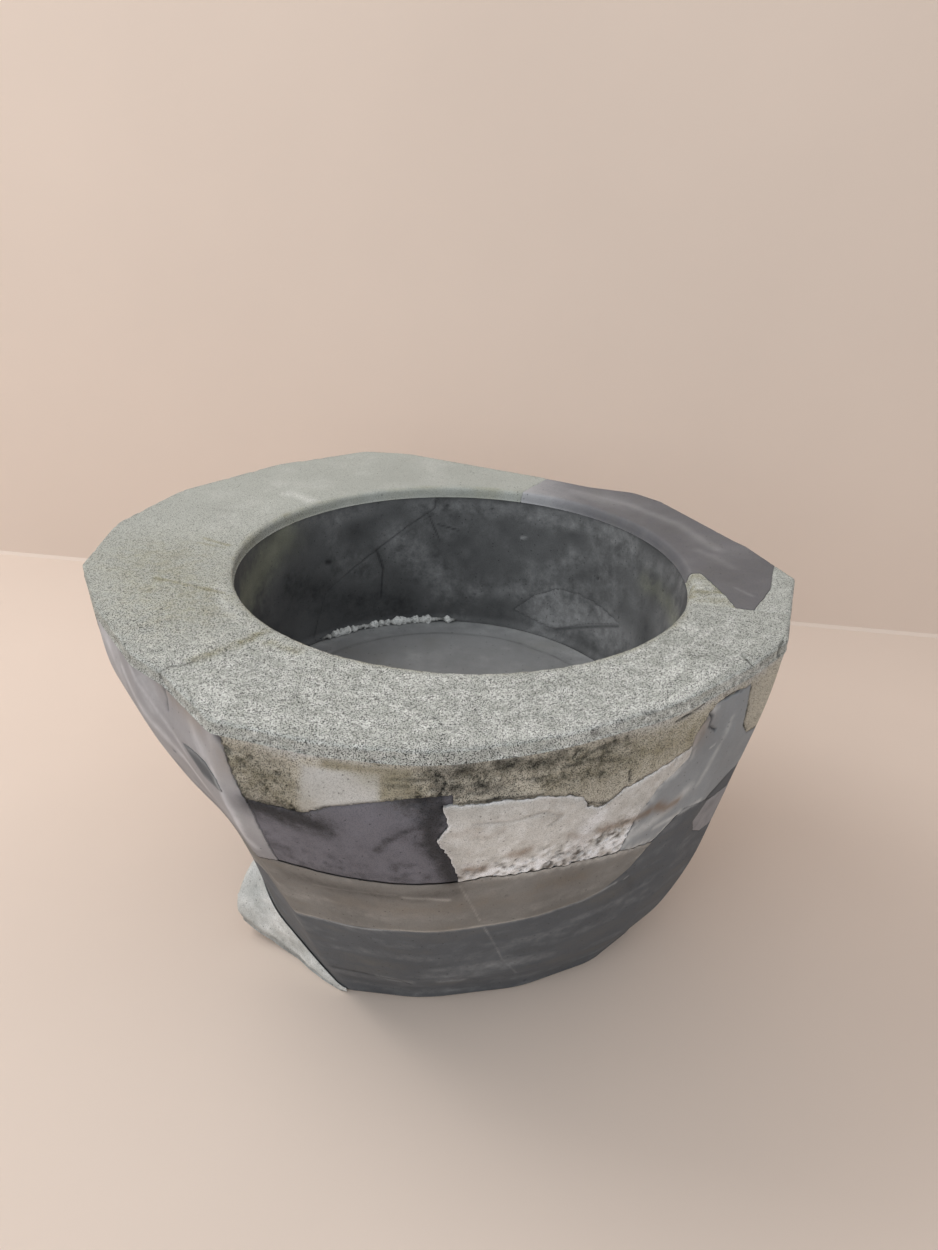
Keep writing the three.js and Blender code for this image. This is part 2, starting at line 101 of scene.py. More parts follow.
# Corners of rim and foot in plan, percent of the mouth's radius: x, y, corner radius.
RIM_CORNERS = [
    (-164.4, -16.7, 3.3), (-145.6, -57.8, 22.2), (-121.1, -95.6, 22.2), (-105.6, -109.4, 5.6),
    (-81.7, -140, 6.7), (-46.7, -151.1, 83.3), (-7.8, -156.7, 111.1), (34.4, -143.3, 138.9),
    (77.8, -118.9, 111.1), (111.1, -87.2, 7.8), (129.4, -65.6, 13.9), (147.2, -4.4, 4.4),
    (133.3, 32.2, 1.1), (128.9, 38.9, 1.1), (101.1, 90.6, 7.8), (88.9, 102.8, 11.1),
    (65.6, 109.4, 16.7), (38.9, 123.3, 33.3), (-34.4, 155.6, 16.7), (-59.4, 157.2, 11.1),
    (-104.4, 128.3, 33.3), (-145.6, 81.1, 33.3), (-164.4, 33.3, 33.3),
]
FOOT_CORNERS = [
    (-87.8, -11.1, 33.3), (-77.8, -48.9, 33.3), (-46.7, -81.1, 11.1), (-11.1, -85, 66.7),
    (33.3, -75.6, 55.6), (66.7, -57.8, 33.3), (90.6, -32.2, 27.8), (93.3, 11.1, 38.9),
    (66.7, 61.1, 44.4), (0, 83.3, 50), (-61.1, 61.1, 44.4), (-86.1, 22.2, 33.3),
]
# How far each side has drawn in from the rim to the foot, at even steps up the height.
SIDES = [
    (-170, (1, 0.89, 0.77, 0.59, 0.29, 0.055, 0)),
    (-90, (1, 0.745, 0.53, 0.335, 0.16, 0.03, 0)),
    (-12, (1, 0.68, 0.46, 0.325, 0.20, 0.075, 0)),
    (90, (1, 0.72, 0.53, 0.35, 0.18, 0.07, 0)),
]

# Outlines of the wall's pours, and below them of the lining's, as (angle, height).
CHARCOAL_TOP = [
    (-180, 108), (-150, 108), (-117, 124), (-98, 136), (-73, 136), (-60, 143), (-54, 160),
    (-50, 182), (-44, 203), (-37, 196), (-30, 185), (-20, 180), (0, 170), (60, 146), (120, 128),
]
TAUPE_TOP = [
    (-180, 160), (-140, 172), (-117, 198), (-100, 200), (-85, 203), (-70, 196), (-58, 189),
    (-50, 181), (-36, 176), (0, 178), (60, 192), (120, 186),
]
BACK_LOWER_TOP = [(-170, 238), (8, 244), (90, 262)]
RIGHT_PATCH = [(-35, 160), (-37.5, 175), (-35, 190), (-20, 186), (-17, 164), (-23, 149), (-31, 150)]
RIGHT_WEDGE = [(-41, 170), (16, 150), (16, 222), (-20, 217), (-30, 208), (-36, 198)]
RIGHT_PANEL = [
    (-60, 150), (14, 150), (14, 240), (-22, 240), (-31, 248), (-34.5, 262), (-37, 302),
    (-46, 302), (-49.8, 283), (-50, 264), (-56, 250), (-58.5, 225),
]
LIME = [
    (-88.7, 150), (-46, 150), (-46, 275), (-51, 272), (-58, 268), (-64, 260), (-67, 250),
    (-70, 256), (-71, 266), (-77, 275), (-85, 278), (-91, 278), (-90.2, 262), (-91.8, 248),
    (-90, 230), (-88.7, 206),
]
SLATE = [
    (-116.3, 150), (-88.4, 150), (-88.4, 215), (-89.8, 240), (-89.8, 286), (-95, 285),
    (-100, 279), (-105, 272), (-109, 262), (-112, 261), (-116.8, 262),
]
TAN = [(-116.7, 256), (-100, 240), (-44, 240), (-44, 350), (-121.5, 350)]
RIGHT_END = [(-60, 220), (13, 220), (13, 350), (-60, 350)]
LEFT_PANEL = [(-168, 130), (-100, 130), (-100, 350), (-165, 350)]
LEFT_LENS = [(-131, 272), (-127, 277), (-123.5, 278), (-121, 272), (-120.3, 263), (-126, 258)]

LINER_LENS = [(73, 203), (66, 222), (58, 234), (50, 236), (42, 234), (31, 228), (45, 212),
              (57, 194), (66, 198)]
LINER_LEFT = [(146, 150), (136, 229), (118, 262), (100, 298), (96, 340), (236, 340), (222, 150)]
LINER_FRONT = [(-150, 150), (-24, 150), (-10, 340), (-136, 340)]

# Outlines on the rim, in plan.
RIM_INLAY = [(150, -55), (177, -62), (197, -65), (222, -70), (244, -74), (330, -88), (330, 260),
             (98, 260), (72, 205), (44, 160)]
LIP_PATCH = [(150, -45), (160, -8), (181, -3), (190, -4), (195, -20), (201, -42), (206, -72),
             (150, -72)]
END_WEDGE = [(212, -80), (231, -46), (240, -29), (247, -3), (256, 24), (330, 24), (330, -95),
             (212, -95)]

# The fin of leaked grout: angle, how far it stands out, low, high.
FIN_SECTIONS = [
    (-164.5, 0.6, 34, 50), (-163, 8, 24, 58), (-160, 30, 14, 70), (-156, 35, 14, 74),
    (-152, 25, 9, 60), (-148, 14, 4, 47), (-144, 9, 1, 42), (-139, 6, 0.6, 34),
    (-133, 6, 0.6, 21), (-127, 4.5, 0.6, 13), (-121, 1, 0.6, 8), (-119, 0.4, 2, 6),
]

# ---- Surfaces as whole arrays ----

def rgb(code):
    """Linear colour from a screen colour written as six hex digits."""
    parts = [int(code[i:i + 2], 16) / 255 for i in (0, 2, 4)]
    return [p / 12.92 if p <= 0.04045 else ((p + 0.055) / 1.055) ** 2.4 for p in parts]


def polar(angle, radius, height):
    """Points (radius cos angle, radius sin angle, height), with the angle in degrees."""
    a = np.radians(angle)
    x, y, z = np.broadcast_arrays(radius * np.cos(a), radius * np.sin(a), height)
    return np.stack([x, y, z], -1).astype(float)


def rounded(corners, steps=12):
    """Outline whose corners are quadratic curves, tangent to both edges at
    min(radius tan(turn / 2), 0.48 of the shorter edge) from the corner."""
    at = np.array(corners, float) * MOUTH / 100
    t = np.linspace(0, 1, steps + 1)[:, None]
    runs = []
    for i, (x, y, radius) in enumerate(at):
        here = np.array([x, y])
        before = at[i - 1, :2] - here
        after = at[(i + 1) % len(at), :2] - here
        reach_b, reach_a = np.linalg.norm(before), np.linalg.norm(after)
        turn = math.pi - math.acos(np.clip(before @ after / reach_a / reach_b, -1, 1))
        reach = min(radius * math.tan(turn / 2), 0.48 * min(reach_a, reach_b))
        start, end = here + before / reach_b * reach, here + after / reach_a * reach
        runs.append((1 - t) ** 2 * start + 2 * t * (1 - t) * here + t ** 2 * end)
    return np.concatenate(runs)


def reach_table(outline, count=7200):
    """Distance from the centre to the outline in each of count even directions."""
    angle = np.radians(np.linspace(-180, 180, count, endpoint=False))
    way = np.stack([np.cos(angle), np.sin(angle)], -1)
    edge = np.roll(outline, -1, 0) - outline
    slant = way[:, None, 0] * edge[:, 1] - way[:, None, 1] * edge[:, 0]
    share = (outline[:, 0] * way[:, None, 1] - outline[:, 1] * way[:, None, 0]) / slant
    far = (outline[:, 0] * edge[:, 1] - outline[:, 1] * edge[:, 0]) / slant
    return np.where((share >= -1e-9) & (share <= 1 + 1e-9) & (far > 0), far, 1e9).min(1)


RIM_REACH = reach_table(rounded(RIM_CORNERS))
FOOT_REACH = reach_table(rounded(FOOT_CORNERS))


def reach(table, angle):
    """Distance in any direction, between the table's neighbours."""
    x = (np.asarray(angle, float) + 180) % 360 / 360 * len(table)
    i = np.floor(x).astype(int)
    return table[i % len(table)] * (1 - x + i) + table[(i + 1) % len(table)] * (x - i)


def spline(values, share):
    """Smooth curve through even steps: on each step the cubic whose slopes are half the
    difference of the two neighbours."""
    v = np.array(values, float)
    last = len(v) - 1
    p = np.clip(share, 0, 1) * last
    i = np.minimum(p.astype(int), last)
    w = p - i
    a, b = v[np.maximum(i - 1, 0)], v[i]
    c, d = v[np.minimum(i + 1, last)], v[np.minimum(i + 2, last)]
    s0, s1 = (c - a) / 2, (d - b) / 2
    return (2 * b - 2 * c + s0 + s1) * w ** 3 + (3 * c - 3 * b - 2 * s0 - s1) * w ** 2 + s0 * w + b


def drawn_in(angle, height):
    """How far the wall has drawn in: the four sides' curves, blended by (1 - cos) / 2."""
    angle, height = np.broadcast_arrays(np.asarray(angle, float), np.asarray(height, float))
    starts = [side[0] for side in SIDES] + [SIDES[0][0] + 360]
    curves = [spline(side[1], height / HEIGHT) for side in SIDES]
    curves.append(curves[0])
    turned = starts[0] + (angle - starts[0]) % 360
    total = np.zeros(angle.shape)
    for i in range(len(SIDES)):
        share = (turned - starts[i]) / (starts[i + 1] - starts[i])
        blend = (1 - np.cos(np.pi * share)) / 2
        here = (share >= 0) & (share < 1)
        total = np.where(here, curves[i] * (1 - blend) + curves[i + 1] * blend, total)
    return total


def outside(angle, height):
    """Radius of the bowl: the rim's reach drawn in towards the foot's."""
    k = drawn_in(angle, height)
    return reach(RIM_REACH, angle) * (1 - k) + reach(FOOT_REACH, angle) * k


def scatter(cells, seed):
    """A random number from 0 to 1 for each whole-number cell, the same on every run."""
    h = cells[..., 0] * 73856093 ^ cells[..., 1] * 19349663 ^ cells[..., 2] * 83492791
    h = (h ^ seed * 374761393) & 0xFFFFFFFF
    h = (h ^ (h >> 15)) * 668265263 & 0xFFFFFFFF
    h = (h ^ (h >> 13)) * 1274126177 & 0xFFFFFFFF
    return ((h ^ (h >> 16)) & 0xFFFFFF) / 0xFFFFFF


def noise(points, cell, seed):
    """Smooth noise from -1 to 1: random cell corners blended by 3t^2 - 2t^3."""
    q = points / cell
    base = np.floor(q).astype(np.int64)
    t = q - base
    t = t * t * (3 - 2 * t)
    total = 0
    for corner in np.ndindex(2, 2, 2):
        share = np.prod(np.where(corner, t, 1 - t), axis=-1)
        total = total + share * scatter(base + np.array(corner), seed)
    return 2 * total - 1


def cloud(points, cell, seed, octaves=3):
    """Noise summed over octaves, each of half the size and half the height of the last."""
    return sum(noise(points, cell / 2 ** k, seed + 17 * k) / 2 ** k for k in range(octaves)) / 1.6


def pits(points, cell, radius, seed, share=1.0):
    """Round hollows, one to a cell, 1 - (distance / radius)^2 deep, of mixed radius."""
    base = np.floor(points / cell).astype(np.int64)
    deep = np.zeros(points.shape[:-1])
    for step in np.ndindex(3, 3, 3):
        at = base + np.array(step) - 1
        centre = np.stack([at[..., k] + scatter(at, seed + k) for k in range(3)], -1) * cell
        size = radius * (0.3 + 0.7 * scatter(at, seed + 3) ** 2)
        away = ((points - centre) ** 2).sum(-1) / size ** 2
        deep = np.maximum(deep, np.where(scatter(at, seed + 4) < share, 1 - away, 0))
    return deep


def to_path(x, y, path):
    """Distance to an open path of straight runs."""
    best = np.full(np.shape(x), 1e18)
    for (ax, ay), (bx, by) in zip(path[:-1], path[1:]):
        ex, ey = bx - ax, by - ay
        t = np.clip(((x - ax) * ex + (y - ay) * ey) / (ex * ex + ey * ey), 0, 1)
        best = np.minimum(best, (x - ax - t * ex) ** 2 + (y - ay - t * ey) ** 2)
    return np.sqrt(best)


def to_outline(x, y, outline):
    """Distance to a closed outline, less than 0 inside it."""
    ring = list(outline) + [outline[0]]
    inside = np.zeros(np.shape(x), bool)
    for (ax, ay), (bx, by) in zip(ring[:-1], ring[1:]):
        if ay != by:
            inside ^= ((ay > y) != (by > y)) & (x < (bx - ax) * (y - ay) / (by - ay) + ax)
    return np.where(inside, -1, 1) * to_path(x, y, ring)


def unrolled(table, arc):
    """The same outline with angles turned into lengths along the wall."""
    return [(angle * arc, height) for angle, height in table]


def soft_marks(x, y, rows, arc=1):
    """Strongest of some soft marks at each point: strength exp(-(distance / width)^2), from rows
    of (path, width, strength)."""
    total = np.zeros(np.shape(x))
    for path, width, strength in rows:
        away = to_path(x, y, unrolled(path, arc)) / width
        total = np.maximum(total, strength * np.exp(-away ** 2))
    return total


def crack(x, y, rows, depth, wear_and_shade, dark, arc=1):
    """Cuts cracks into the depth and darkens them, from rows of (path, half width, depth)."""
    for path, width, deep in rows:
        line = np.exp(-(to_path(x, y, unrolled(path, arc)) / width) ** 2)
        depth = depth + deep * line
        lift(wear_and_shade, DARK, dark * line)
    return depth


def clean_wear(points, grain=0.0):
    """Wear of a fresh surface with some sand grain."""
    wear_and_shade = np.zeros(points.shape[:2] + (4,))
    wear_and_shade[..., GRAIN] = grain
    return wear_and_shade


def lift(wear_and_shade, channel, *values):
    """Brings one channel of the wear up to the highest of some values."""
    for value in values:
        wear_and_shade[..., channel] = np.maximum(wear_and_shade[..., channel], value)


def positive(values):
    """Cuts values to between 0 and 1."""
    return np.clip(values, 0, 1)


def well_radius(height):
    """Radius of the well: straight draft from the floor up to the mouth's lip."""
    return WELL_BOTTOM + (height - FLOOR_TOP) * (MOUTH - WELL_BOTTOM) / (HEIGHT - LIP - FLOOR_TOP)


def well_shift(height):
    """How far the well's centre has moved sideways at a height."""
    return WELL_SHIFT * (HEIGHT - height) / WELL_DEPTH


def course(table):
    """Outline of everything below a line that runs right round."""
    line = [(angle + turn, height) for turn in (-360, 0, 360) for angle, height in table]
    return [(line[0][0], -90)] + line + [(line[-1][0], -90)]


def normals(points):
    """Outward directions: the cross product of the steps along the columns and the rows."""
    along = np.roll(points, -1, 1) - np.roll(points, 1, 1)
    up = np.gradient(points, axis=0)
    n = np.cross(along, up)
    return n / np.maximum(np.linalg.norm(n, axis=-1, keepdims=True), 1e-9)


# ---- Meshes ----

def make_piece(name, points, quads, tris, wear_and_shade, finish):
    """Mesh from corner arrays, with the wear of each point as a colour attribute; it takes the
    place of the solid of the same name."""
    faces = len(quads) + len(tris)
    mesh = bpy.data.meshes.new(f"{name}_surface")
    mesh.vertices.add(len(points))
    placed = points * MM + np.array([*MOUTH_CENTRE, 0])
    mesh.vertices.foreach_set("co", placed.astype(np.float32).ravel())
    corners = np.concatenate([quads.ravel(), tris.ravel()]).astype(np.int32)
    starts = np.concatenate([np.arange(len(quads)) * 4, len(quads) * 4 + np.arange(len(tris)) * 3])
    mesh.loops.add(len(corners))
    mesh.polygons.add(faces)
    mesh.loops.foreach_set("vertex_index", corners)
    mesh.polygons.foreach_set("loop_start", starts.astype(np.int32))
    mesh.polygons.foreach_set("use_smooth", np.ones(faces, bool))
    mesh.update(calc_edges=True)
    mesh.validate()
    mesh.set_sharp_from_angle(angle=math.radians(SHARP))
    colour = mesh.attributes.new("wear_and_shade", "FLOAT_COLOR", "POINT")
    colour.data.foreach_set("color", np.clip(wear_and_shade, 0, 1).astype(np.float32).ravel())
    piece = bpy.data.objects.new(f"{name}_surface", mesh)
    bpy.context.scene.collection.objects.link(piece)
    mesh.materials.append(material(finish))
    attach(piece, "root")
    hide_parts(name)


def ring_piece(name, points, wear_and_shade, finish):
    """Closed ring: a grid whose rows and columns both run round to their start."""
    rows, cols = points.shape[:2]
    index = np.arange(rows * cols).reshape(rows, cols)
    up = np.roll(index, -1, 0)
    quads = np.stack([index, np.roll(index, -1, 1), np.roll(up, -1, 1), up], -1).reshape(-1, 4)
    no_tris = np.zeros((0, 3), int)
    make_piece(name, points.reshape(-1, 3), quads, no_tris, wear_and_shade.reshape(-1, 4), finish)


def tube_piece(name, points, wear_and_shade, finish):
    """Closed tube: rows run round it, columns along it, and a fan of triangles shuts each end."""
    rows, cols = points.shape[:2]
    index = np.arange(rows * cols).reshape(rows, cols)
    up = np.roll(index, -1, 0)
    quads = np.stack([index[:, :-1], index[:, 1:], up[:, 1:], up[:, :-1]], -1).reshape(-1, 4)
    ends = points[:, [0, -1]].mean(0)
    first, last = rows * cols, rows * cols + 1
    near = np.stack([np.full(rows, first), index[:, 0], up[:, 0]], -1)
    far = np.stack([np.full(rows, last), up[:, -1], index[:, -1]], -1)
    every = np.concatenate([points.reshape(-1, 3), ends])
    shade = np.concatenate([wear_and_shade.reshape(-1, 4), wear_and_shade[:, [0, -1]].mean(0)])
    make_piece(name, every, quads, np.concatenate([near, far]), shade, finish)


def coarse_labels(inner, cell):
    """One label for each joined patch of hidden points inside a block of cell x cell."""
    rows, cols = inner.shape
    block = (np.arange(rows)[:, None] // cell) * cols + np.arange(cols) // cell
    label = np.where(inner, np.arange(rows * cols).reshape(rows, cols), rows * cols)
    for _ in range(2 * cell):
        for axis in (0, 1):
            for way in (1, -1):
                near = np.roll(label, way, axis)
                same = inner & np.roll(inner, way, axis) & (np.roll(block, way, axis) == block)
                label = np.where(same, np.minimum(label, near), label)
    return label


def shell(mask, outer, inner, via=None, cell=8):
    """Closed body over the masked squares of a grid: the outer sheet, walls along its edge, and
    an inner sheet whose points are gathered into coarse patches. Returns points, quads,
    triangles and, for each outer or wall point, the grid point that it came from."""
    rows, cols = mask.shape
    index = np.arange((rows + 1) * cols).reshape(rows + 1, cols)
    low, high = index[:-1], index[1:]
    face = np.stack([low, np.roll(low, -1, 1), np.roll(high, -1, 1), high], -1)[mask]
    used = np.unique(face)
    start, end = face.ravel(), np.roll(face, -1, 1).ravel()
    size = (rows + 1) * cols
    open_edge = ~np.isin(start * size + end, end * size + start)
    start, end = start[open_edge], end[open_edge]
    rim = np.unique(start)
    hidden = np.zeros(size, bool)
    hidden[used] = True
    hidden[rim] = False
    label = coarse_labels(hidden.reshape(rows + 1, cols), cell).ravel()
    groups, member = np.unique(label[hidden], return_inverse=True)
    count = np.bincount(member)[:, None]
    deep = inner.reshape(-1, 3)[hidden]
    place = np.stack([np.bincount(member, deep[:, k]) for k in range(3)], -1)
    points = [outer.reshape(-1, 3)[used]]
    top = np.full(size, -1)
    top[used] = np.arange(len(used))
    total = len(used)
    levels = [top]
    for sheet in (inner,) if via is None else (via, inner):
        level = np.full(size, -1)
        level[rim] = total + np.arange(len(rim))
        points.append(sheet.reshape(-1, 3)[rim])
        total += len(rim)
        levels.append(level)
    bottom = levels[-1]
    bottom[hidden] = total + member
    points.append(place / count)
    walls = [np.stack([a[end], a[start], b[start], b[end]], -1)
             for a, b in zip(levels[:-1], levels[1:])]
    back = bottom[face][:, ::-1]
    differs = back != np.roll(back, -1, 1)
    sides = differs.sum(1)
    crossed = (back[:, 0] == back[:, 2]) | (back[:, 1] == back[:, 3])
    quads = np.concatenate([top[face]] + walls + [back[sides == 4][~crossed[sides == 4]]])
    tri_rows = (sides == 3) & ~crossed
    tris = back[tri_rows][differs[tri_rows]].reshape(-1, 3)
    source = np.concatenate([used] + [rim] * (len(levels) - 1))
    return np.concatenate(points), quads, tris, source


def tidy_ids(ids, fallback):
    """Takes out squares that only touch their own pour at a corner, then stray islands."""
    for _ in range(4):
        right, up = np.roll(ids, -1, 1)[:-1], ids[1:]
        here, cross = ids[:-1], np.roll(ids, -1, 1)[1:]
        pinch = (here == cross) & (here != right) & (here != up)
        ids[:-1] = np.where(pinch, right, here)
        other = (right == up) & (right != ids[:-1]) & (right != cross)
        ids[:-1] = np.where(other, right, ids[:-1])
    for k in np.unique(ids):
        mask = ids == k
        seed = np.unravel_index(np.argmin(np.where(mask, fallback[k], 1e9)), ids.shape)
        seen = np.zeros_like(mask)
        seen[seed] = True
        while True:
            grown = seen | np.roll(seen, 1, 1) | np.roll(seen, -1, 1)
            grown[1:] |= seen[:-1]
            grown[:-1] |= seen[1:]
            grown &= mask
            if grown.sum() == seen.sum():
                break
            seen = grown
        stray = mask & ~seen
        while stray.any():
            for axis, way in ((1, 1), (1, -1), (0, 1), (0, -1)):
                near = np.roll(ids, way, axis)
                fix = stray & (near != k)
                ids[fix] = near[fix]
                stray &= ~fix
    return ids


class Cast:
    """A sheet of squares shared out between pours: each pour's signed distance at every point,
    the pour of every square, and the squares' edges moved on to the pours' true outlines."""

    def __init__(self, x, y, fields, names):
        self.names = names
        rest = -np.min(fields, axis=0)
        self.fields = np.array(list(fields) + [rest])
        f = self.fields
        beside = np.roll(f, -1, 2)
        centre = (f[:, :-1] + beside[:, :-1] + f[:, 1:] + beside[:, 1:]) / 4
        inside = centre < 0
        inside[-1] = True
        self.ids = tidy_ids(np.argmax(inside, axis=0), centre)
        ids = np.concatenate([self.ids[:1], self.ids, self.ids[-1:]])
        around = np.stack([ids[:-1], ids[1:], np.roll(ids, 1, 1)[:-1], np.roll(ids, 1, 1)[1:]])
        lowest = around.min(0)
        edge = lowest != around.max(0)
        d = np.take_along_axis(f, lowest[None], 0)[0]
        gx, gy = np.zeros_like(d), np.zeros_like(d)
        dx = np.roll(x, -1, 1) - np.roll(x, 1, 1)
        dy = np.gradient(y, axis=0)
        for k in range(len(names)):
            own = lowest == k
            slope_x = (np.roll(f[k], -1, 1) - np.roll(f[k], 1, 1)) / np.where(dx == 0, 1, dx)
            slope_y = np.gradient(f[k], axis=0) / np.where(dy == 0, 1, dy)
            gx, gy = np.where(own, slope_x, gx), np.where(own, slope_y, gy)
        steep = np.maximum(gx ** 2 + gy ** 2, 0.25)
        move = np.where(edge & (lowest < len(names) - 1), np.clip(d, -1, 1), 0) / steep
        self.move_x, self.move_y = -move * gx, -move * gy
        self.move_y[[0, -1]] = 0

    def joint(self, k):
        """Distance to the nearest joint of pour k."""
        return np.abs(self.fields[:k + 1] if k < len(self.names) - 1 else self.fields[:-1]).min(0)

    def build(self, k, outer, inner, wear_and_shade, finish, via=None):
        """Makes pour k's body, its edge drawn back by half the joint's gap."""
        mask = self.ids == k
        weight = np.zeros(outer.shape[:2])
        total = np.zeros(outer.shape)
        beside = np.roll(outer, -1, 1)
        middle = (outer[:-1] + beside[:-1] + outer[1:] + beside[1:]) / 4
        for rows in (slice(None, -1), slice(1, None)):
            for turn in (0, 1):
                weight[rows] += np.roll(mask, turn, 1)
                total[rows] += np.roll(np.where(mask[..., None], middle, 0), turn, 1)
        pull = np.where(weight[..., None] > 0, total / np.maximum(weight, 1)[..., None] - outer, 0)
        far = np.maximum(np.linalg.norm(pull, axis=-1, keepdims=True), 1e-6)
        drawn = outer + np.where((weight < 4)[..., None], pull / far * GAP / 2, 0)
        points, quads, tris, source = shell(mask, drawn, inner, via)
        shade = np.zeros((len(points), 4))
        shade[:len(source)] = wear_and_shade.reshape(-1, 4)[source]
        make_piece(self.names[k], points, quads, tris, shade, finish)


# ---- Finishes ----

# Screen colours as cast, of lime bloom, of wet dark places and painted shade, and of stains; then
# grain, cloudiness, pinholes and roughness.
FINISHES = {
    "charcoal_concrete": ("565a5f", "a4a7a9", "2d2f32", "68655f", 0.25, 0.14, 0.25, 0.74),
    "taupe_concrete": ("7c7a77", "b6b3ae", "4a4643", "736a60", 0.25, 0.2, 0.3, 0.78),
    "slate_concrete": ("6b6a72", "adadb0", "303034", "5f5e5a", 0.45, 0.12, 0.25, 0.74),
    "lime_render": ("c5c3bf", "edeef1", "5f5a55", "938477", 0.5, 0.12, 0.5, 0.88),
    "tan_concrete": ("bab5a8", "c1c1c0", "2e2e2b", "8c8672", 0.85, 0.12, 0.9, 0.92),
    "pale_grey_concrete": ("9c9b9e", "c4c4c8", "626165", "8b8178", 0.15, 0.12, 0.2, 0.72),
    "blue_grey_concrete": ("8d9195", "c0c2c3", "45474a", "7b6a5c", 0.2, 0.14, 0.3, 0.76),
    "sage_concrete": ("acafa9", "d5d7d3", "5b5c57", "94927a", 0.9, 0.05, 0.7, 0.9),
    "liner_concrete": ("5a5b5c", "969798", "2b2c2e", "7c7e71", 0.25, 0.24, 0.25, 0.82),
    "screed": ("868788", "a6a7a7", "555656", "777671", 0.25, 0.1, 0.3, 0.85),
    "grout": ("bfc1be", "e6e7e5", "5c5d5b", "9a9c96", 0.4, 0.1, 0.5, 0.92),
}
TONES = ("cast", "bloom", "dark", "stain")
# Nearly all of a noise texture's values lie between these two.
NOISE_SPAN = 0.3, 0.7


def linked(tree, kind, inputs, **settings):
    """Adds a node, sets it, and joins or fills its inputs."""
    node = tree.nodes.new(kind)
    for key, value in settings.items():
        setattr(node, key, value)
    for key, value in inputs.items():
        if isinstance(value, bpy.types.NodeSocket):
            tree.links.new(value, node.inputs[key])
        else:
            node.inputs[key].default_value = value
    return node


def mixed(tree, share, first, second):
    """Colour between two, by share."""
    node = linked(tree, "ShaderNodeMix", {}, data_type="RGBA")
    for number, value in ((0, share), (6, first), (7, second)):
        socket = node.inputs[number]
        if isinstance(value, bpy.types.NodeSocket):
            tree.links.new(value, socket)
        else:
            socket.default_value = value
    return node.outputs[2]


def spread(tree, value, low, high, to_low, to_high):
    """A value moved from one range to another."""
    inputs = {"Value": value, "From Min": low, "From Max": high,
              "To Min": to_low, "To Max": to_high}
    return linked(tree, "ShaderNodeMapRange", inputs).outputs[0]


def maths(tree, kind, first, second):
    """A sum, product or other operation on two values."""
    return linked(tree, "ShaderNodeMath", {0: first, 1: second}, operation=kind).outputs[0]


def material(finish):
    """Concrete: cast, bloom, stain and dark colours mixed by the wear, clouds at two sizes, sand
    grain and pinholes, all placed by Object coordinates."""
    name = f"{finish}_finish"
    if name in bpy.data.materials:
        return bpy.data.materials[name]
    colours = bpy.context.scene.bowl_finish
    grain, clouds, holes, rough = FINISHES[finish][4:]
    made = bpy.data.materials.new(name)
    made.use_nodes = True
    tree = made.node_tree
    shader = tree.nodes["Principled BSDF"]
    place = linked(tree, "ShaderNodeTexCoord", {}).outputs["Object"]
    wear_and_shade = linked(tree, "ShaderNodeAttribute", {}, attribute_name="wear_and_shade")
    parts = linked(tree, "ShaderNodeSeparateColor", {"Color": wear_and_shade.outputs["Color"]}).outputs
    tone = {t: (*getattr(colours, f"{finish}_{t}"), 1) for t in TONES}

    def plus(first, second):
        return maths(tree, "ADD", first, second)

    def times(first, *others):
        for other in others:
            first = maths(tree, "MULTIPLY", first, other)
        return first

    def texture(scale, detail, rough_detail=0.55):
        inputs = {"Vector": place, "Scale": scale, "Detail": detail, "Roughness": rough_detail}
        return linked(tree, "ShaderNodeTexNoise", inputs).outputs["Fac"]

    broad, middle, sand = texture(14, 4), texture(90, 5, 0.7), texture(1500, 1)
    ragged = spread(tree, middle, *NOISE_SPAN, -0.5, 0.5)
    strength = plus(wear_and_shade.outputs["Alpha"], 0.25)

    def torn(share):
        """A share with a ragged edge: share + 4 share (1 - share) strength noise."""
        edge = times(share, 4, maths(tree, "SUBTRACT", 1, share), strength, ragged)
        return linked(tree, "ShaderNodeClamp", {"Value": plus(share, edge)}).outputs[0]

    colour = tone["cast"]
    for channel, laid in ((BLOOM, "bloom"), (STAIN, "stain"), (DARK, "dark")):
        colour = mixed(tree, torn(parts[channel]), colour, tone[laid])
    value = plus(spread(tree, broad, *NOISE_SPAN, 1 - clouds, 1 + clouds),
                 spread(tree, middle, *NOISE_SPAN, -clouds / 2, clouds / 2))
    speck = times(spread(tree, sand, 0.5, 0.63, 0.1 * grain, -grain), strength)
    value = times(value, plus(1, speck))
    cells = linked(tree, "ShaderNodeTexVoronoi", {"Vector": place, "Scale": 330.0}, feature="F1")
    hole = spread(tree, cells.outputs["Distance"], 0.12, 0.26, 1, 0)
    lot = linked(tree, "ShaderNodeSeparateColor", {"Color": cells.outputs["Color"]}).outputs[0]
    hole = times(hole, maths(tree, "LESS_THAN", lot, times(strength, 0.55 * holes)))
    value = times(value, spread(tree, hole, 0, 1, 1, 0.45))
    shade = linked(tree, "ShaderNodeVectorMath", {0: colour, "Scale": value}, operation="SCALE")
    tree.links.new(shade.outputs[0], shader.inputs["Base Color"])
    height = maths(tree, "SUBTRACT", times(sand, times(strength, grain)), hole)
    bump = linked(tree, "ShaderNodeBump", {"Height": height, "Strength": 0.5, "Distance": 0.0006})
    tree.links.new(bump.outputs[0], shader.inputs["Normal"])
    gloss = spread(tree, middle, *NOISE_SPAN, rough - 0.07, rough + 0.07)
    tree.links.new(gloss, shader.inputs["Roughness"])
    shader.inputs["Specular IOR Level"].default_value = 0.35
    return made


# ---- Wall ----

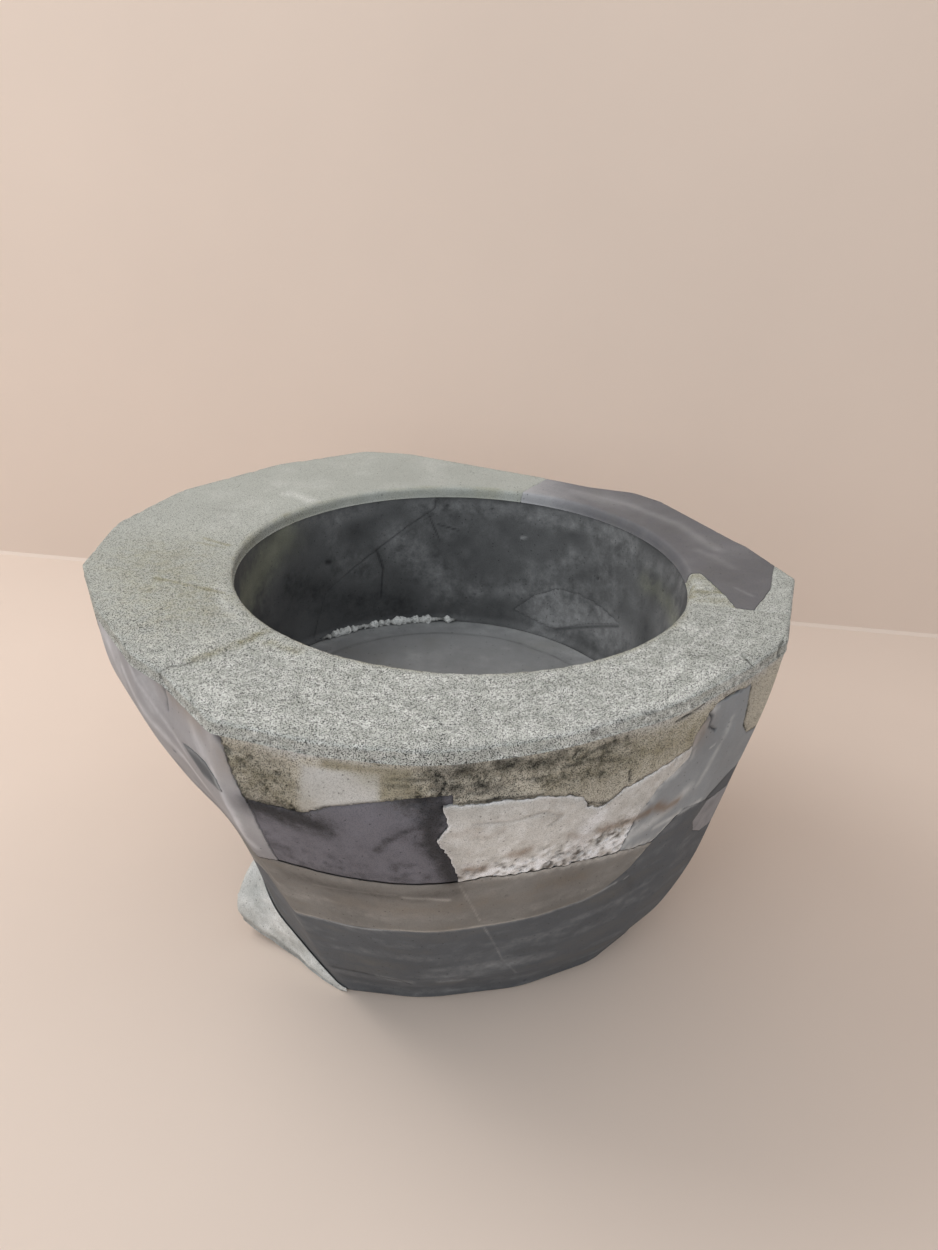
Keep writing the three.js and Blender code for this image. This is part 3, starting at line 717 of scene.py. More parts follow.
# Pours of the wall, in casting order: outline, how ragged its edge is, how far its face lies back
# and its finish.
WALL_POURS = [
    ("right_patch", RIGHT_PATCH, 0.6, 1.0, "pale_grey_concrete"),
    ("charcoal_course", CHARCOAL_TOP, 0.25, 0.9, "charcoal_concrete"),
    ("taupe_course", TAUPE_TOP, 0.4, 0.7, "taupe_concrete"),
    ("left_lens", LEFT_LENS, 0.4, 0.6, "charcoal_concrete"),
    ("right_wedge", RIGHT_WEDGE, 0.6, 1.1, "charcoal_concrete"),
    ("right_panel", RIGHT_PANEL, 0.6, 0.8, "blue_grey_concrete"),
    ("lime_patch", LIME, 1.9, 0.0, "lime_render"),
    ("slate_patch", SLATE, 0.9, 1.6, "slate_concrete"),
    ("tan_course", TAN, 1.1, 0.5, "tan_concrete"),
    ("right_end", RIGHT_END, 0.7, 0.6, "tan_concrete"),
    ("left_panel", LEFT_PANEL, 0.5, 0.7, "pale_grey_concrete"),
    ("back_lower_course", BACK_LOWER_TOP, 0.8, 0.6, "blue_grey_concrete"),
    ("back_upper_course", None, 0.5, 0.5, "tan_concrete"),
]
COURSES = ("charcoal_course", "taupe_course", "back_lower_course")
SANDY = ("tan_course", "right_end", "back_upper_course")
WALL_ROWS = 208


def wall_columns(values):
    """Column angles: close together over the front, twice as far apart over the back."""
    step = values.front_step
    return np.concatenate([np.arange(-175, 15, step), np.arange(15, 185, 2 * step)])


# Marks on the wall: path of (angle, height), width, strength.
PALE_MARKS = [
    ([(-122, 122), (-106, 129), (-98, 137), (-73, 136.5), (-63, 140.5), (-56, 148)], 1.6, 0.75),
    ([(-112, 178), (-106, 183), (-98, 187)], 0.9, 0.5),
    ([(-97, 184.5), (-93, 184), (-90, 181)], 1.8, 0.8),
    ([(-88.7, 202), (-84.4, 146)], 0.7, 0.45),
    ([(-83.5, 136), (-77.4, 75), (-71.4, 40)], 0.7, 0.35),
    ([(-148.2, 293), (-135.7, 256), (-130, 236)], 5, 0.7),
    ([(-143, 306), (-131, 262)], 3, 0.5),
    ([(-121.5, 279), (-120.5, 264), (-120, 240), (-120.6, 220), (-119.3, 209)], 3.6, 0.95),
    ([(-126, 300), (-124, 285)], 5, 0.5),
    ([(-107, 46), (-99, 42)], 4, 0.35),
    ([(-92, 44), (-86, 42)], 4, 0.3),
    ([(-69.6, 222), (-67.5, 240)], 9, 0.8),
    ([(-52, 201), (-45.6, 200), (-39.3, 200)], 2.5, 0.8),
    ([(-40, 280), (-43, 225)], 3.5, 0.4),
    ([(-44.2, 261), (-43, 262)], 1.0, 0.9),
    ([(-53.7, 148), (-53.0, 149)], 0.8, 0.9),
    ([(-86.8, 211), (-80, 207), (-70, 207), (-60, 205), (-52, 212), (-46, 226)], 6, 0.7),
]
DARK_MARKS = [
    ([(-116, 181), (-106, 184), (-97, 185), (-89, 190)], 8, 0.6),
    ([(-96, 254), (-92.6, 267)], 9, 0.35),
    ([(-91.5, 278), (-92.8, 262), (-92.4, 245), (-90.6, 232), (-90, 212), (-89.5, 205)], 9, 1.0),
    ([(-99.7, 236), (-98.4, 246), (-96, 256), (-92.5, 266), (-90.5, 268)], 3.2, 0.6),
    ([(-116.6, 258), (-112, 256), (-107, 252)], 10, 1.0),
    ([(-91.5, 303), (-83, 305), (-76, 302)], 9, 0.55),
    ([(-91.5, 292), (-84, 291)], 6, 0.6),
    ([(-89, 280), (-84, 279.5), (-78, 277.5)], 1.6, 0.9),
    ([(-70, 259), (-66.5, 253), (-63.5, 262)], 1.5, 0.8),
    ([(-53, 147), (-50, 130)], 4, 0.25),
    ([(-36, 196), (-31, 206)], 3, 0.5),
    ([(-150, 235), (-140, 225)], 7, 0.4),
    ([(-118.5, 46), (-111, 47), (-101.5, 44), (-99.5, 36)], 1.6, 0.6),
]
STAIN_MARKS = [
    ([(-99.6, 303), (-95, 300), (-95, 287)], 13, 0.6),
    ([(-75, 290), (-60, 287), (-50, 285)], 16, 0.7),
    ([(-88, 300), (-70, 300)], 9, 0.4),
    ([(-87.1, 215), (-85.2, 214)], 5, 0.85),
    ([(-80.7, 225), (-78.5, 227)], 4.5, 0.7),
    ([(-66.2, 226), (-60, 223), (-56, 226)], 5, 0.8),
    ([(-54.1, 227), (-50.9, 218), (-48.1, 219)], 5, 0.8),
    ([(-72, 232), (-70, 226)], 3.5, 0.5),
    ([(-134, 310), (-124, 305)], 11, 0.55),
    ([(-74, 180), (-66, 176)], 9, 0.5),
    ([(-108, 165), (-96, 168), (-84, 172)], 10, 0.35),
    ([(-118, 292), (-113, 282), (-111, 270)], 18, 0.6),
]
# Cracks: path, half width, depth.
CRACKS = [
    ([(-134.5, 312), (-133.6, 300), (-133.9, 291)], 0.9, 1.4),
    ([(-119.6, 309), (-118.8, 303), (-118.1, 297)], 1.0, 1.8),
    ([(-47.5, 297), (-46.4, 290), (-46.6, 284), (-44.3, 277)], 1.0, 1.8),
    ([(-44, 302), (-41.9, 303), (-39.5, 301)], 0.9, 1.5),
    ([(-73.5, 301), (-72.4, 306)], 0.9, 1.4),
    ([(-53.9, 266), (-53.2, 272)], 0.9, 1.3),
    ([(-62.9, 267), (-63.4, 276)], 0.9, 1.3),
    ([(-91.5, 285), (-90.6, 296), (-91.8, 304)], 0.9, 1.2),
    ([(-56, 305), (-50, 308)], 0.8, 1.0),
    ([(20, 246), (24, 262), (23, 280), (27, 297)], 0.8, 1.0),
    ([(112, 262), (116, 280), (121, 289)], 0.8, 1.0),
]
# Smooth patches wiped over the tan course, and the smooth stain beside them.
SMEAR = [(-109.5, 262), (-104, 266), (-99, 272), (-98.6, 301), (-108.5, 302)]
WIPED_STAIN = [(-98.6, 284), (-94.8, 283), (-94.6, 307), (-99.4, 308), (-106, 309), (-106, 302),
               (-99, 301)]
# The edge of a thin flake on the lime fill.
LEDGE = [([(-87, 262), (-82, 259), (-77, 262), (-74, 254), (-76, 248)], 1.1, 1.0)]
# Rough places: path and width.
ZONES = {
    "honeycomb": ([(-95, 292), (-84, 296), (-74, 296), (-66, 292)], 17),
    "pinholes": ([(-118, 290), (-113, 282)], 20),
    "left_fill": ([(-116, 260), (-108, 262)], 12),
    "back_comb": ([(40, 262), (60, 268), (84, 266)], 14),
    "side_comb": ([(148, 244), (160, 240)], 12),
}


def zone(name, angle, height):
    """1 in the middle of a rough zone, fading to 0 round it."""
    path, width = ZONES[name]
    return np.exp(-(to_path(angle * WALL_ARC, height, unrolled(path, WALL_ARC)) / width) ** 4)


def wall_surface(values):
    """The whole wall above the foot pour: its grid, its pours, and their relief and wear."""
    heights = np.linspace(FOOT_TOP + GAP / 2, CAP_FOOT - GAP / 2, WALL_ROWS)
    angle, height = np.meshgrid(wall_columns(values), heights)
    raw = polar(angle, outside(angle, height), height)
    x, y = angle * WALL_ARC, height
    coarse, fine = cloud(raw, 7, 3), cloud(raw, 2.6, 5)
    fields = []
    for name, outline, rough, _, _ in WALL_POURS[:-1]:
        table = course(outline) if name in COURSES else outline
        if name == "taupe_course":
            rough = rough + 1.6 * np.exp(-((angle + 68) / 19) ** 4)
        fields.append(to_outline(x, y, unrolled(table, WALL_ARC)) + rough * (coarse + 0.6 * fine))
    cast = Cast(x, y, fields, [row[0] for row in WALL_POURS])
    angle = angle + cast.move_x / WALL_ARC
    height = height + cast.move_y
    raw = polar(angle, outside(angle, height), height)
    return cast, angle, height, raw, normals(raw)


def skin(raw, angle, height):
    """Depth under the mould's face that every pour shares, in millimetres, and its wear."""
    swell = 0.35 * (1 + cloud(raw, 70, 11)) + 0.08 * (1 + cloud(raw, 4, 13))
    bugs = pits(raw, 26, 2.4, 21, 0.55)
    wear_and_shade = clean_wear(raw)
    x = angle * WALL_ARC
    for channel, rows in ((BLOOM, PALE_MARKS), (DARK, DARK_MARKS), (STAIN, STAIN_MARKS)):
        wear_and_shade[..., channel] = soft_marks(x, height, rows, WALL_ARC)
    lift(wear_and_shade, DARK, 0.8 * bugs)
    wobble = 0.8 * noise(raw, 4, 31)
    return crack(x + wobble, height + wobble, CRACKS, swell + 1.1 * bugs, wear_and_shade, 1, WALL_ARC), wear_and_shade


def soft_patch(outline, angle, height, edge):
    """1 inside an outline on the unrolled wall, fading over the edge's width."""
    away = to_outline(angle * WALL_ARC, height, unrolled(outline, WALL_ARC))
    return positive(0.5 - away / edge)


def pour_relief(name, raw, angle, height, joint, depth, wear_and_shade):
    """A pour's own depth and wear on top of the shared skin."""
    depth, wear_and_shade = depth.copy(), wear_and_shade.copy()
    grain = 0.15
    if name in SANDY:
        grain = 0.75
        depth += 0.22 * (1 + cloud(raw, 3.2, 41))
        comb = np.maximum.reduce([zone(z, angle, height) for z in ZONES])
        holes = np.maximum(0.8 * pits(raw, 6, 3.2, 43), 0.7 * pits(raw, 3.2, 1.9, 47)) * comb
        depth += 2.0 * holes + comb * (0.5 + 1.0 * positive(cloud(raw, 12, 51)))
        lift(wear_and_shade, DARK, 0.9 * holes + 0.12 * comb)
        wander = cloud(raw, 9, 56)
        smear = soft_patch(SMEAR, angle + 0.4 * cloud(raw, 9, 54), height + 1.5 * wander, 5)
        wiped = soft_patch(WIPED_STAIN, angle, height + wander, 4)
        wear_and_shade[..., DARK] *= (1 - 0.9 * smear) * (1 - 0.7 * wiped)
        streak = positive(0.15 + 1.3 * cloud(raw * np.array([0.5, 0.5, 2.2]), 9, 55))
        lift(wear_and_shade, DARK, 0.85 * streak * zone("honeycomb", angle, height))
        # Dark seam along the sandy pours' joints below 300 mm: partly a dark joint, and along the
        # tan course's lower edge painted shadow, as if the tan overhung the lime and slate below.
        seam = np.exp(-(joint / 1.8) ** 2) * positive(0.8 + 1.5 * cloud(raw, 6, 58))
        lift(wear_and_shade, DARK, 0.85 * seam * (height < 300))
        upper = positive((height - 301) / 9 + 0.5 * cloud(raw, 5, 53))
        lift(wear_and_shade, BLOOM, 0.85 * smear, 0.75 * upper * (1 - comb))
        lift(wear_and_shade, STAIN, 0.8 * wiped)
        depth *= 1 - 0.6 * positive((height - 302) / 8)
        grain = 0.75 * (1 - 0.85 * smear) * (1 - 0.5 * wiped)
    elif name == "lime_patch":
        grain = 0.35
        low = np.interp(angle, [-90, -76, -62, -46], [204, 206, 214, 228])
        crumb = np.exp(-np.clip((height - low) / 14, 0, 9) ** 2)
        holes = pits(raw, 4.2, 2.8, 61) * positive(crumb + 0.15)
        lumps = pits(raw, 5.2, 3.2, 63) * crumb
        depth += 0.3 * (1 + cloud(raw, 9, 65)) + 1.9 * holes - 0.9 * lumps + 0.9 * crumb
        flake = cloud(raw, 4.5, 66, 2)
        wash = cloud(raw, 15, 68)
        wear_and_shade[..., DARK] *= 0.4
        lift(wear_and_shade, DARK, 0.75 * holes)
        lift(wear_and_shade, DARK, np.clip(2.6 * flake - 0.35, 0, 0.85) * (0.12 + crumb))
        lift(wear_and_shade, BLOOM, 0.7 * lumps, 0.8 * np.exp(-(joint / 1.2) ** 2),
             positive(0.25 - 2.4 * flake) * (0.15 + crumb))
        lift(wear_and_shade, STAIN, np.clip(0.7 * wash - 0.05, 0, 0.55) * (height < 262))
        ledge = soft_marks(angle * WALL_ARC, height, LEDGE, WALL_ARC)
        depth += 0.7 * ledge
        lift(wear_and_shade, DARK, 0.35 * ledge)
        wear_and_shade[..., STAIN] *= 1 - 0.3 * holes
    elif name == "slate_patch":
        top = positive((height - 262) / 20) * np.exp(-((angle + 93) / 4) ** 2)
        depth += 1.6 * top * (1 + cloud(raw, 5, 71)) + 1.5 * pits(raw, 6, 3.2, 73) * top
        lift(wear_and_shade, DARK, top)
        flecks = pits(raw, 11, 2.2, 75, 0.35) * (height < 200)
        lift(wear_and_shade, BLOOM, 1.3 * flecks)
        mottle = positive(0.25 + 0.9 * cloud(raw, 7, 77)) * np.clip((248 - height) / 30, 0.15, 1)
        lift(wear_and_shade, DARK, 0.75 * mottle)
        grain = 0.3 + 0.6 * positive(wear_and_shade[..., DARK])
    elif name == "left_panel":
        across, deep, high = raw[..., 0], raw[..., 1], raw[..., 2]
        leaning = np.stack([across * 0.35 + deep * 0.2, deep * 0.3, high * 0.25 + across * 0.2], -1)
        bands = np.clip(cloud(leaning, 8, 81), -1, 1)
        depth += 0.25 * (1 + bands)
        lift(wear_and_shade, BLOOM, positive(0.9 * bands))
        low = positive((232 - height) / 40)
        lift(wear_and_shade, DARK, 0.45 * low)
    elif name == "right_panel":
        edge = np.exp(-(joint / 5) ** 2) * (angle < -45)
        flake = cloud(raw, 4, 85)
        depth += 0.5 * edge * (1 + flake)
        lift(wear_and_shade, BLOOM, edge * positive(0.6 + 1.2 * flake))
    elif name == "right_patch":
        lift(wear_and_shade, DARK, 0.35 + 0.3 * cloud(raw, 12, 87))
    elif name == "left_lens":
        lift(wear_and_shade, BLOOM, 0.45 * np.exp(-(joint / 3) ** 2))
    elif name in ("taupe_course", "charcoal_course"):
        drift = np.clip(cloud(raw * np.array([0.3, 0.3, 1.4]), 18, 91), -1, 1)
        lift(wear_and_shade, BLOOM, 0.26 * positive(drift + 0.3 * cloud(raw, 6, 92)))
        lift(wear_and_shade, STAIN, 0.5 * positive(-drift))
        grain = 0.35
        depth += 0.1 * (1 + drift)
        if name == "taupe_course":
            crumb = np.exp(-(joint / 4) ** 2 - ((angle + 68) / 18) ** 4) * (height > 170)
            depth += 1.1 * pits(raw, 4.2, 2.6, 93) * crumb
            lift(wear_and_shade, BLOOM, 0.8 * crumb)
    elif name == "back_lower_course":
        drift = cloud(raw * np.array([0.4, 0.4, 1.5]), 26, 95)
        lift(wear_and_shade, BLOOM, 0.4 * positive(drift))
        lift(wear_and_shade, DARK, 0.3 * positive(-drift))
    rough_joint = 0.35 + 0.5 * (name in ("tan_course", "lime_patch", "slate_patch"))
    groove = np.exp(-(joint / 0.9) ** 2)
    depth += rough_joint * groove * (1 + 0.5 * noise(raw, 5, 97))
    lift(wear_and_shade, DARK, 0.35 * groove * (name != "lime_patch"))
    wear_and_shade[..., GRAIN] = grain
    return depth, wear_and_shade


def inner_wall(name, angle, height, raw, normal, mask):
    """The hidden side: the lining's back, the drain's collar, or a shallow bed."""
    if name in ("right_patch", "left_lens"):
        return raw - normal * (14 if name == "right_patch" else 8), None
    radius = np.minimum(LINING_BACK + 0.6, outside(angle, height) - 3)
    if name not in ("charcoal_course", "taupe_course"):
        return polar(angle, radius, height), None
    rows = np.concatenate([mask[:1], mask])
    low = np.where(rows, height, 1e9).min(0)
    high = np.where(rows, height, -1e9).max(0)
    share = positive((height - low) / np.maximum(high - low, 1))
    top, bottom = LINING_FOOT - GAP, CORE + GAP
    if name == "charcoal_course":
        shut = np.interp(angle[0], [-52, -49, -14, -10], [0, 1, 1, 0])
        top, bottom = CORE * (1 - shut) + top * shut, FOOT_TOP + GAP
    level = bottom + share * (top - bottom)
    return polar(angle, COLLAR + GAP, level), polar(angle, np.minimum(radius, LINING_BACK), level)


def cast_wall(values):
    """All pours of the wall, from one shared grid."""
    cast, angle, height, raw, normal = wall_surface(values)
    depth, wear_and_shade = skin(raw, angle, height)
    for k, (name, _, _, level, finish) in enumerate(WALL_POURS):
        mask = cast.ids == k
        own_depth, own_wear_and_shade = pour_relief(name, raw, angle, height, cast.joint(k), depth, wear_and_shade)
        own_depth[[0, -1]] = own_depth[[1, -2]]
        outer = raw - normal * (own_depth * values.relief + level)[..., None]
        outer[..., 2] = height
        inner, via = inner_wall(name, angle, height, raw, normal, mask)
        cast.build(k, outer, inner, own_wear_and_shade, finish, via)


# ---- Foot, floor and collar ----

def cast_foot(values):
    """The lowest pour: a ring from the collar out along the underside, round the chamfer, up the
    wall and back along its flat top."""
    angle = wall_columns(values)[None]
    hole = COLLAR + GAP
    edge, above, top = (outside(angle, level + 0 * angle) for level in (0, FOOT_CHAMFER, FOOT_TOP))
    down = np.linspace(FOOT_TOP, 0, 6)[:-1, None]
    across = np.linspace(0, 1, 24)[:, None]
    turn = np.linspace(0, 1, 5)[1:-1, None]
    up = np.linspace(FOOT_CHAMFER, FOOT_TOP - GAP / 2, 20)[:, None]
    back = np.linspace(1, 0, 14)[1:-1, None]
    chamfer = edge - FOOT_CHAMFER + FOOT_CHAMFER * turn + (above - edge) * turn
    wall = polar(angle, outside(angle, up), up)
    points = np.concatenate([
        polar(angle, hole, down),
        polar(angle, hole + across * (edge - FOOT_CHAMFER - hole), 0),
        polar(angle, chamfer, FOOT_CHAMFER * turn ** 1.2),
        wall,
        polar(angle, hole + back * (top - 3 - COLLAR), FOOT_TOP - GAP / 2),
    ])
    first = len(down) + len(across) + len(turn)
    face = slice(first, first + len(up))
    normal = normals(points)
    normal[face] = normals(wall)
    height = points[..., 2]
    every = np.broadcast_to(angle, height.shape)
    depth, wear_and_shade = skin(points, every, np.maximum(height, FOOT_CHAMFER))
    no_joint = np.full(height.shape, 99.0)
    depth, wear_and_shade = pour_relief("charcoal_course", points, every, height, no_joint, depth, wear_and_shade)
    facing = np.zeros(height.shape)
    facing[len(down) + len(across):face.stop] = 1
    depth = (depth + 0.9) * facing * positive(height / FOOT_CHAMFER)
    points = points - normal * (depth * values.relief)[..., None]
    points[..., 2] = np.clip(points[..., 2], 0, FOOT_TOP)
    ring_piece("foot_pour", points, wear_and_shade, "charcoal_concrete")


def flat_ring(name, outer, inner, low, high, finish, relief, rows=70, cols=480):
    """A disc with a hole: up its side, in across the top, down the hole and out underneath. outer
    and inner are (centre x, radius)."""
    angle = np.linspace(-180, 180, cols, endpoint=False)[None]

    def across(share):
        radius = outer[1] + (inner[1] - outer[1]) * share
        at = polar(angle, radius, 0 * share)
        at[..., 0] += outer[0] + (inner[0] - outer[0]) * share
        return at

    side = across(np.zeros((4, 1)))
    side[..., 2] = np.linspace(low, high - 1, 4)[:, None]
    top = across(np.linspace(0.004, 0.99, rows)[:, None])
    top[..., 2] = high
    hole = across(np.ones((8, 1)))
    hole[..., 2] = np.linspace(high - 1, low + 0.5, 8)[:, None]
    under = across(np.linspace(0.97, 0.03, 8)[:, None])
    under[..., 2] = low
    points = np.concatenate([side, top, hole, under])
    wear_and_shade = clean_wear(points)
    span = slice(len(side), len(side) + rows)
    depth, wear_and_shade[span] = relief(points[span])
    points[span, :, 2] -= depth
    ring_piece(name, points, wear_and_shade, finish)


def screed_relief(points):
    """Trowelled screed: low swells, a faint ring, a few pits and paler dust at the rim."""
    r = np.hypot(points[..., 0] - WELL_SHIFT, points[..., 1])
    ring = np.exp(-((r - 138 - 3 * noise(points, 40, 5)) / 1.4) ** 2)
    hollow = pits(points, 17, 1.9, 7, 0.5)
    depth = 0.25 * (1 + cloud(points, 45, 3)) + 0.12 * (1 + cloud(points, 5, 4))
    wear_and_shade = clean_wear(points, 0.3)
    lift(wear_and_shade, BLOOM, 0.35 * positive((r - 132) / 30) + 0.35 * cloud(points, 22, 9))
    lift(wear_and_shade, DARK, 0.45 * ring, 0.8 * hollow)
    lift(wear_and_shade, STAIN, 0.5 * cloud(points, 30, 12))
    return depth + 0.3 * ring + 0.8 * hollow, wear_and_shade


def plain_relief(points):
    """A hidden top: only its cast grain."""
    return np.zeros(points.shape[:2]), clean_wear(points, 0.3)


# ---- Rim ----

# Rows of the rim's section, as drop below its top: up the side and down inside the mouth.
RIM_SIDE = (7.4, 5.6, 3.8, 2.4)
RIM_MOUTH = (4.8, 6.4, 7.8)
# The same round the arris, from the edge inwards, and over the lip: distance, drop.
RIM_ARRIS = ((0.3, 1.3), (0.9, 0.6), (2.0, 0.15))
RIM_LIP = ((2.4, 0.25), (1.4, 0.9), (0.6, 1.9), (0.15, 3.1))
RIM_ROWS = 66
RIM_POURS = [("lip_patch", "sage_concrete"), ("rim_end_wedge", "sage_concrete"),
             ("rim_inlay", "slate_concrete"), ("rim_cap", "sage_concrete")]


def cast_rim(values):
    """The flat rim: up its outer edge, round the arris, in across the top, over the lip and down
    into the mouth."""
    angle = wall_columns(values)[None]
    side = np.array([CAP_FOOT + 0.8, *(HEIGHT - drop for drop in RIM_SIDE)])[:, None]
    inside = np.array([*(HEIGHT - drop for drop in RIM_MOUTH), CAP_FOOT + 0.8])[:, None]
    rim = reach(RIM_REACH, angle) - 0.3
    share = np.linspace(0.0, 1.0, RIM_ROWS)[:, None]
    across = (rim - 3.4) * (1 - share) + (MOUTH + 3.4) * share
    wall = polar(angle, well_radius(inside), inside)
    wall[..., 0] += well_shift(inside)
    rows = [polar(angle, outside(angle, side) - 0.3, side)]
    rows += [polar(angle, rim - inset, HEIGHT - drop) for inset, drop in RIM_ARRIS]
    rows.append(polar(angle, across, HEIGHT))
    rows += [polar(angle, MOUTH + out, HEIGHT - drop) for out, drop in RIM_LIP]
    points = np.concatenate(rows + [wall])
    x, y = points[..., 0], points[..., 1]
    coarse, fine = cloud(points, 8, 101), cloud(points, 3, 103)
    inlay = to_outline(x, y, RIM_INLAY) + 0.6 * coarse + 0.3 * fine
    patch = np.maximum(to_outline(x, y, LIP_PATCH) + 0.7 * coarse + 0.4 * fine, inlay)
    wedge = np.maximum(to_outline(x, y, END_WEDGE) + 0.5 * coarse + 0.3 * fine, inlay)
    every, radius = np.broadcast_to(angle, x.shape), np.hypot(x, y)
    names = [name for name, _ in RIM_POURS]
    cast = Cast(every * RIM_ARC, -radius, [patch, wedge, inlay], names)
    fade = np.linspace(0, 1, len(points))[:, None, None]
    inner = points[0] * (1 - fade) + points[-1] * fade
    inner[..., 2] = CAP_FOOT
    turned = every + cast.move_x / RIM_ARC
    top = slice(len(side) + 1, len(side) + len(RIM_ARRIS) + RIM_ROWS)
    points[top] = polar(turned, radius - cast.move_y, points[..., 2])[top]
    normal = normals(points)
    depth, wear_and_shade = rim_relief(points, turned)
    for k, (name, finish) in enumerate(RIM_POURS):
        own = depth + (0.5 if name != "rim_inlay" else 0.35) * np.exp(-cast.joint(k) ** 2)
        shade = wear_and_shade.copy()
        if name == "rim_inlay":
            own = 0.35 * own + 0.25
            inlay_wear(points, shade)
        elif name == "lip_patch":
            shade[..., BLOOM] += 0.5
            shade[..., STAIN] = 0.4 + 0.5 * coarse
        elif name == "rim_end_wedge":
            shade[..., BLOOM] += 0.15
        outer = points - normal * (own * values.relief)[..., None]
        outer[..., 2] = np.clip(outer[..., 2], CAP_FOOT + 0.5, HEIGHT)
        cast.build(k, outer, inner, positive(shade), finish)


RIM_STREAKS = [
    ([(-214, 31), (-203, 24), (-192, 18)], 2.6, 0.6),
    ([(-218, 22), (-194, 12)], 2.0, 0.5),
    ([(-232, -52), (-205, -62), (-177, -73)], 3.5, 0.75),
    ([(-172, -179), (-150, -155), (-133, -132)], 5, 0.6),
    ([(-128, -150), (-108, -160)], 5, 0.5),
    ([(-240, -20), (-200, -100)], 50, 0.35),
]
RIM_BLOOM = [
    ([(-182, -61), (-170, -95), (-155, -118)], 7, 0.75),
    ([(-146, -128), (-113, -160)], 8, 0.6),
    ([(-59, -212), (-52, -214), (-44, -218)], 4, 0.8),
    ([(-165, 146), (-150, 138), (-142, 130)], 6, 0.55),
    ([(-100, -170), (-60, -190), (0, -200), (60, -192)], 9, 0.35),
]
RIM_CRACKS = [
    ([(-191, -194), (-186, -188), (-178, -186), (-172, -179)], 0.9, 0.9),
    ([(194, -142), (196, -149), (199, -156)], 0.9, 0.9),
    ([(228, -118), (224, -128), (227, -141)], 1.2, 1.0),
]


def rim_relief(points, angle):
    """Sandy rim: grain and pits, densest at the front, smoother at the back left, with a crumbled
    outer arris."""
    x, y = points[..., 0], points[..., 1]
    front = np.clip(0.5 - y / 400, 0.06, 1)
    radius = np.hypot(x, y)
    arris = np.exp(-((reach(RIM_REACH, angle) - radius) / 5) ** 2)
    lip = np.exp(-((radius - MOUTH - 2) / 3.5) ** 2)
    sand = pits(points, 3.6, 1.9, 111) * front
    bugs = pits(points, 21, 2.2, 113, 0.5)
    chips = positive(cloud(points, 9, 115) - 0.12) * arris
    depth = 0.2 * (1 + cloud(points, 60, 117)) + 0.16 * (1 + cloud(points, 3.4, 119)) * front
    depth = depth + 0.5 * sand + 0.9 * bugs + 1.9 * chips + 0.5 * lip * (1 + cloud(points, 7, 121))
    arcs = noise(np.stack([radius, angle * 0.7, 0 * radius], -1), 4.5, 131)
    arcs *= positive((angle + 95) / 20) * positive((-12 - angle) / 20)
    wear_and_shade = clean_wear(points, front)
    lift(wear_and_shade, BLOOM, soft_marks(x, y, RIM_BLOOM), 0.3 * cloud(points, 35, 123),
         np.clip(0.8 * arcs - 0.1, 0, 0.4) + 0.5 * front ** 2)
    crumb = arris * positive(0.3 + cloud(points, 3, 125))
    lift(wear_and_shade, DARK, 0.45 * sand, 0.75 * bugs, 0.55 * crumb)
    damp = lip * positive(0.5 + cloud(points, 20, 127))
    lift(wear_and_shade, STAIN, soft_marks(x, y, RIM_STREAKS), 0.45 * damp)
    wobble = 0.8 * noise(points, 5, 129)
    return crack(x + wobble, y + wobble, RIM_CRACKS, depth, wear_and_shade, 0.9), wear_and_shade


INLAY_STREAKS = [
    ([(100, 184), (150, 150), (188, 104), (212, 48)], 6, 0.45),
    ([(196, 44), (208, 30), (218, 10)], 5, 0.3),
    ([(90, 186), (140, 156)], 12, 0.35),
    ([(212, -30), (222, -44)], 2.0, 0.4),
]


def inlay_wear(points, wear_and_shade):
    """Smooth slate part of the rim: light streaks, faint bloom and a feathered start."""
    start = positive((points[..., 0] - 45) / 75)
    wear_and_shade[..., BLOOM] = soft_marks(points[..., 0], points[..., 1], INLAY_STREAKS)
    lift(wear_and_shade, BLOOM, 1.1 * (1 - start) ** 1.3)
    wear_and_shade[..., BLOOM] += 0.14 + 0.2 * positive(cloud(points, 25, 131))
    wear_and_shade[..., DARK] *= 0.25
    wear_and_shade[..., STAIN] = (0.4 + 0.2 * positive(cloud(points, 30, 133))) * start
    wear_and_shade[..., GRAIN] = 0.05


# ---- Lining ----

# Pours of the lining: name, outline, more bloom, darkness of the seams.
LINING_POURS = [
    ("liner_lens", LINER_LENS, 0.12, 0.05),
    ("liner_left", LINER_LEFT, 0.0, 0.3),
    ("liner_front", LINER_FRONT, 0.15, 0.3),
    ("liner_back", None, 0.0, 0.3),
]


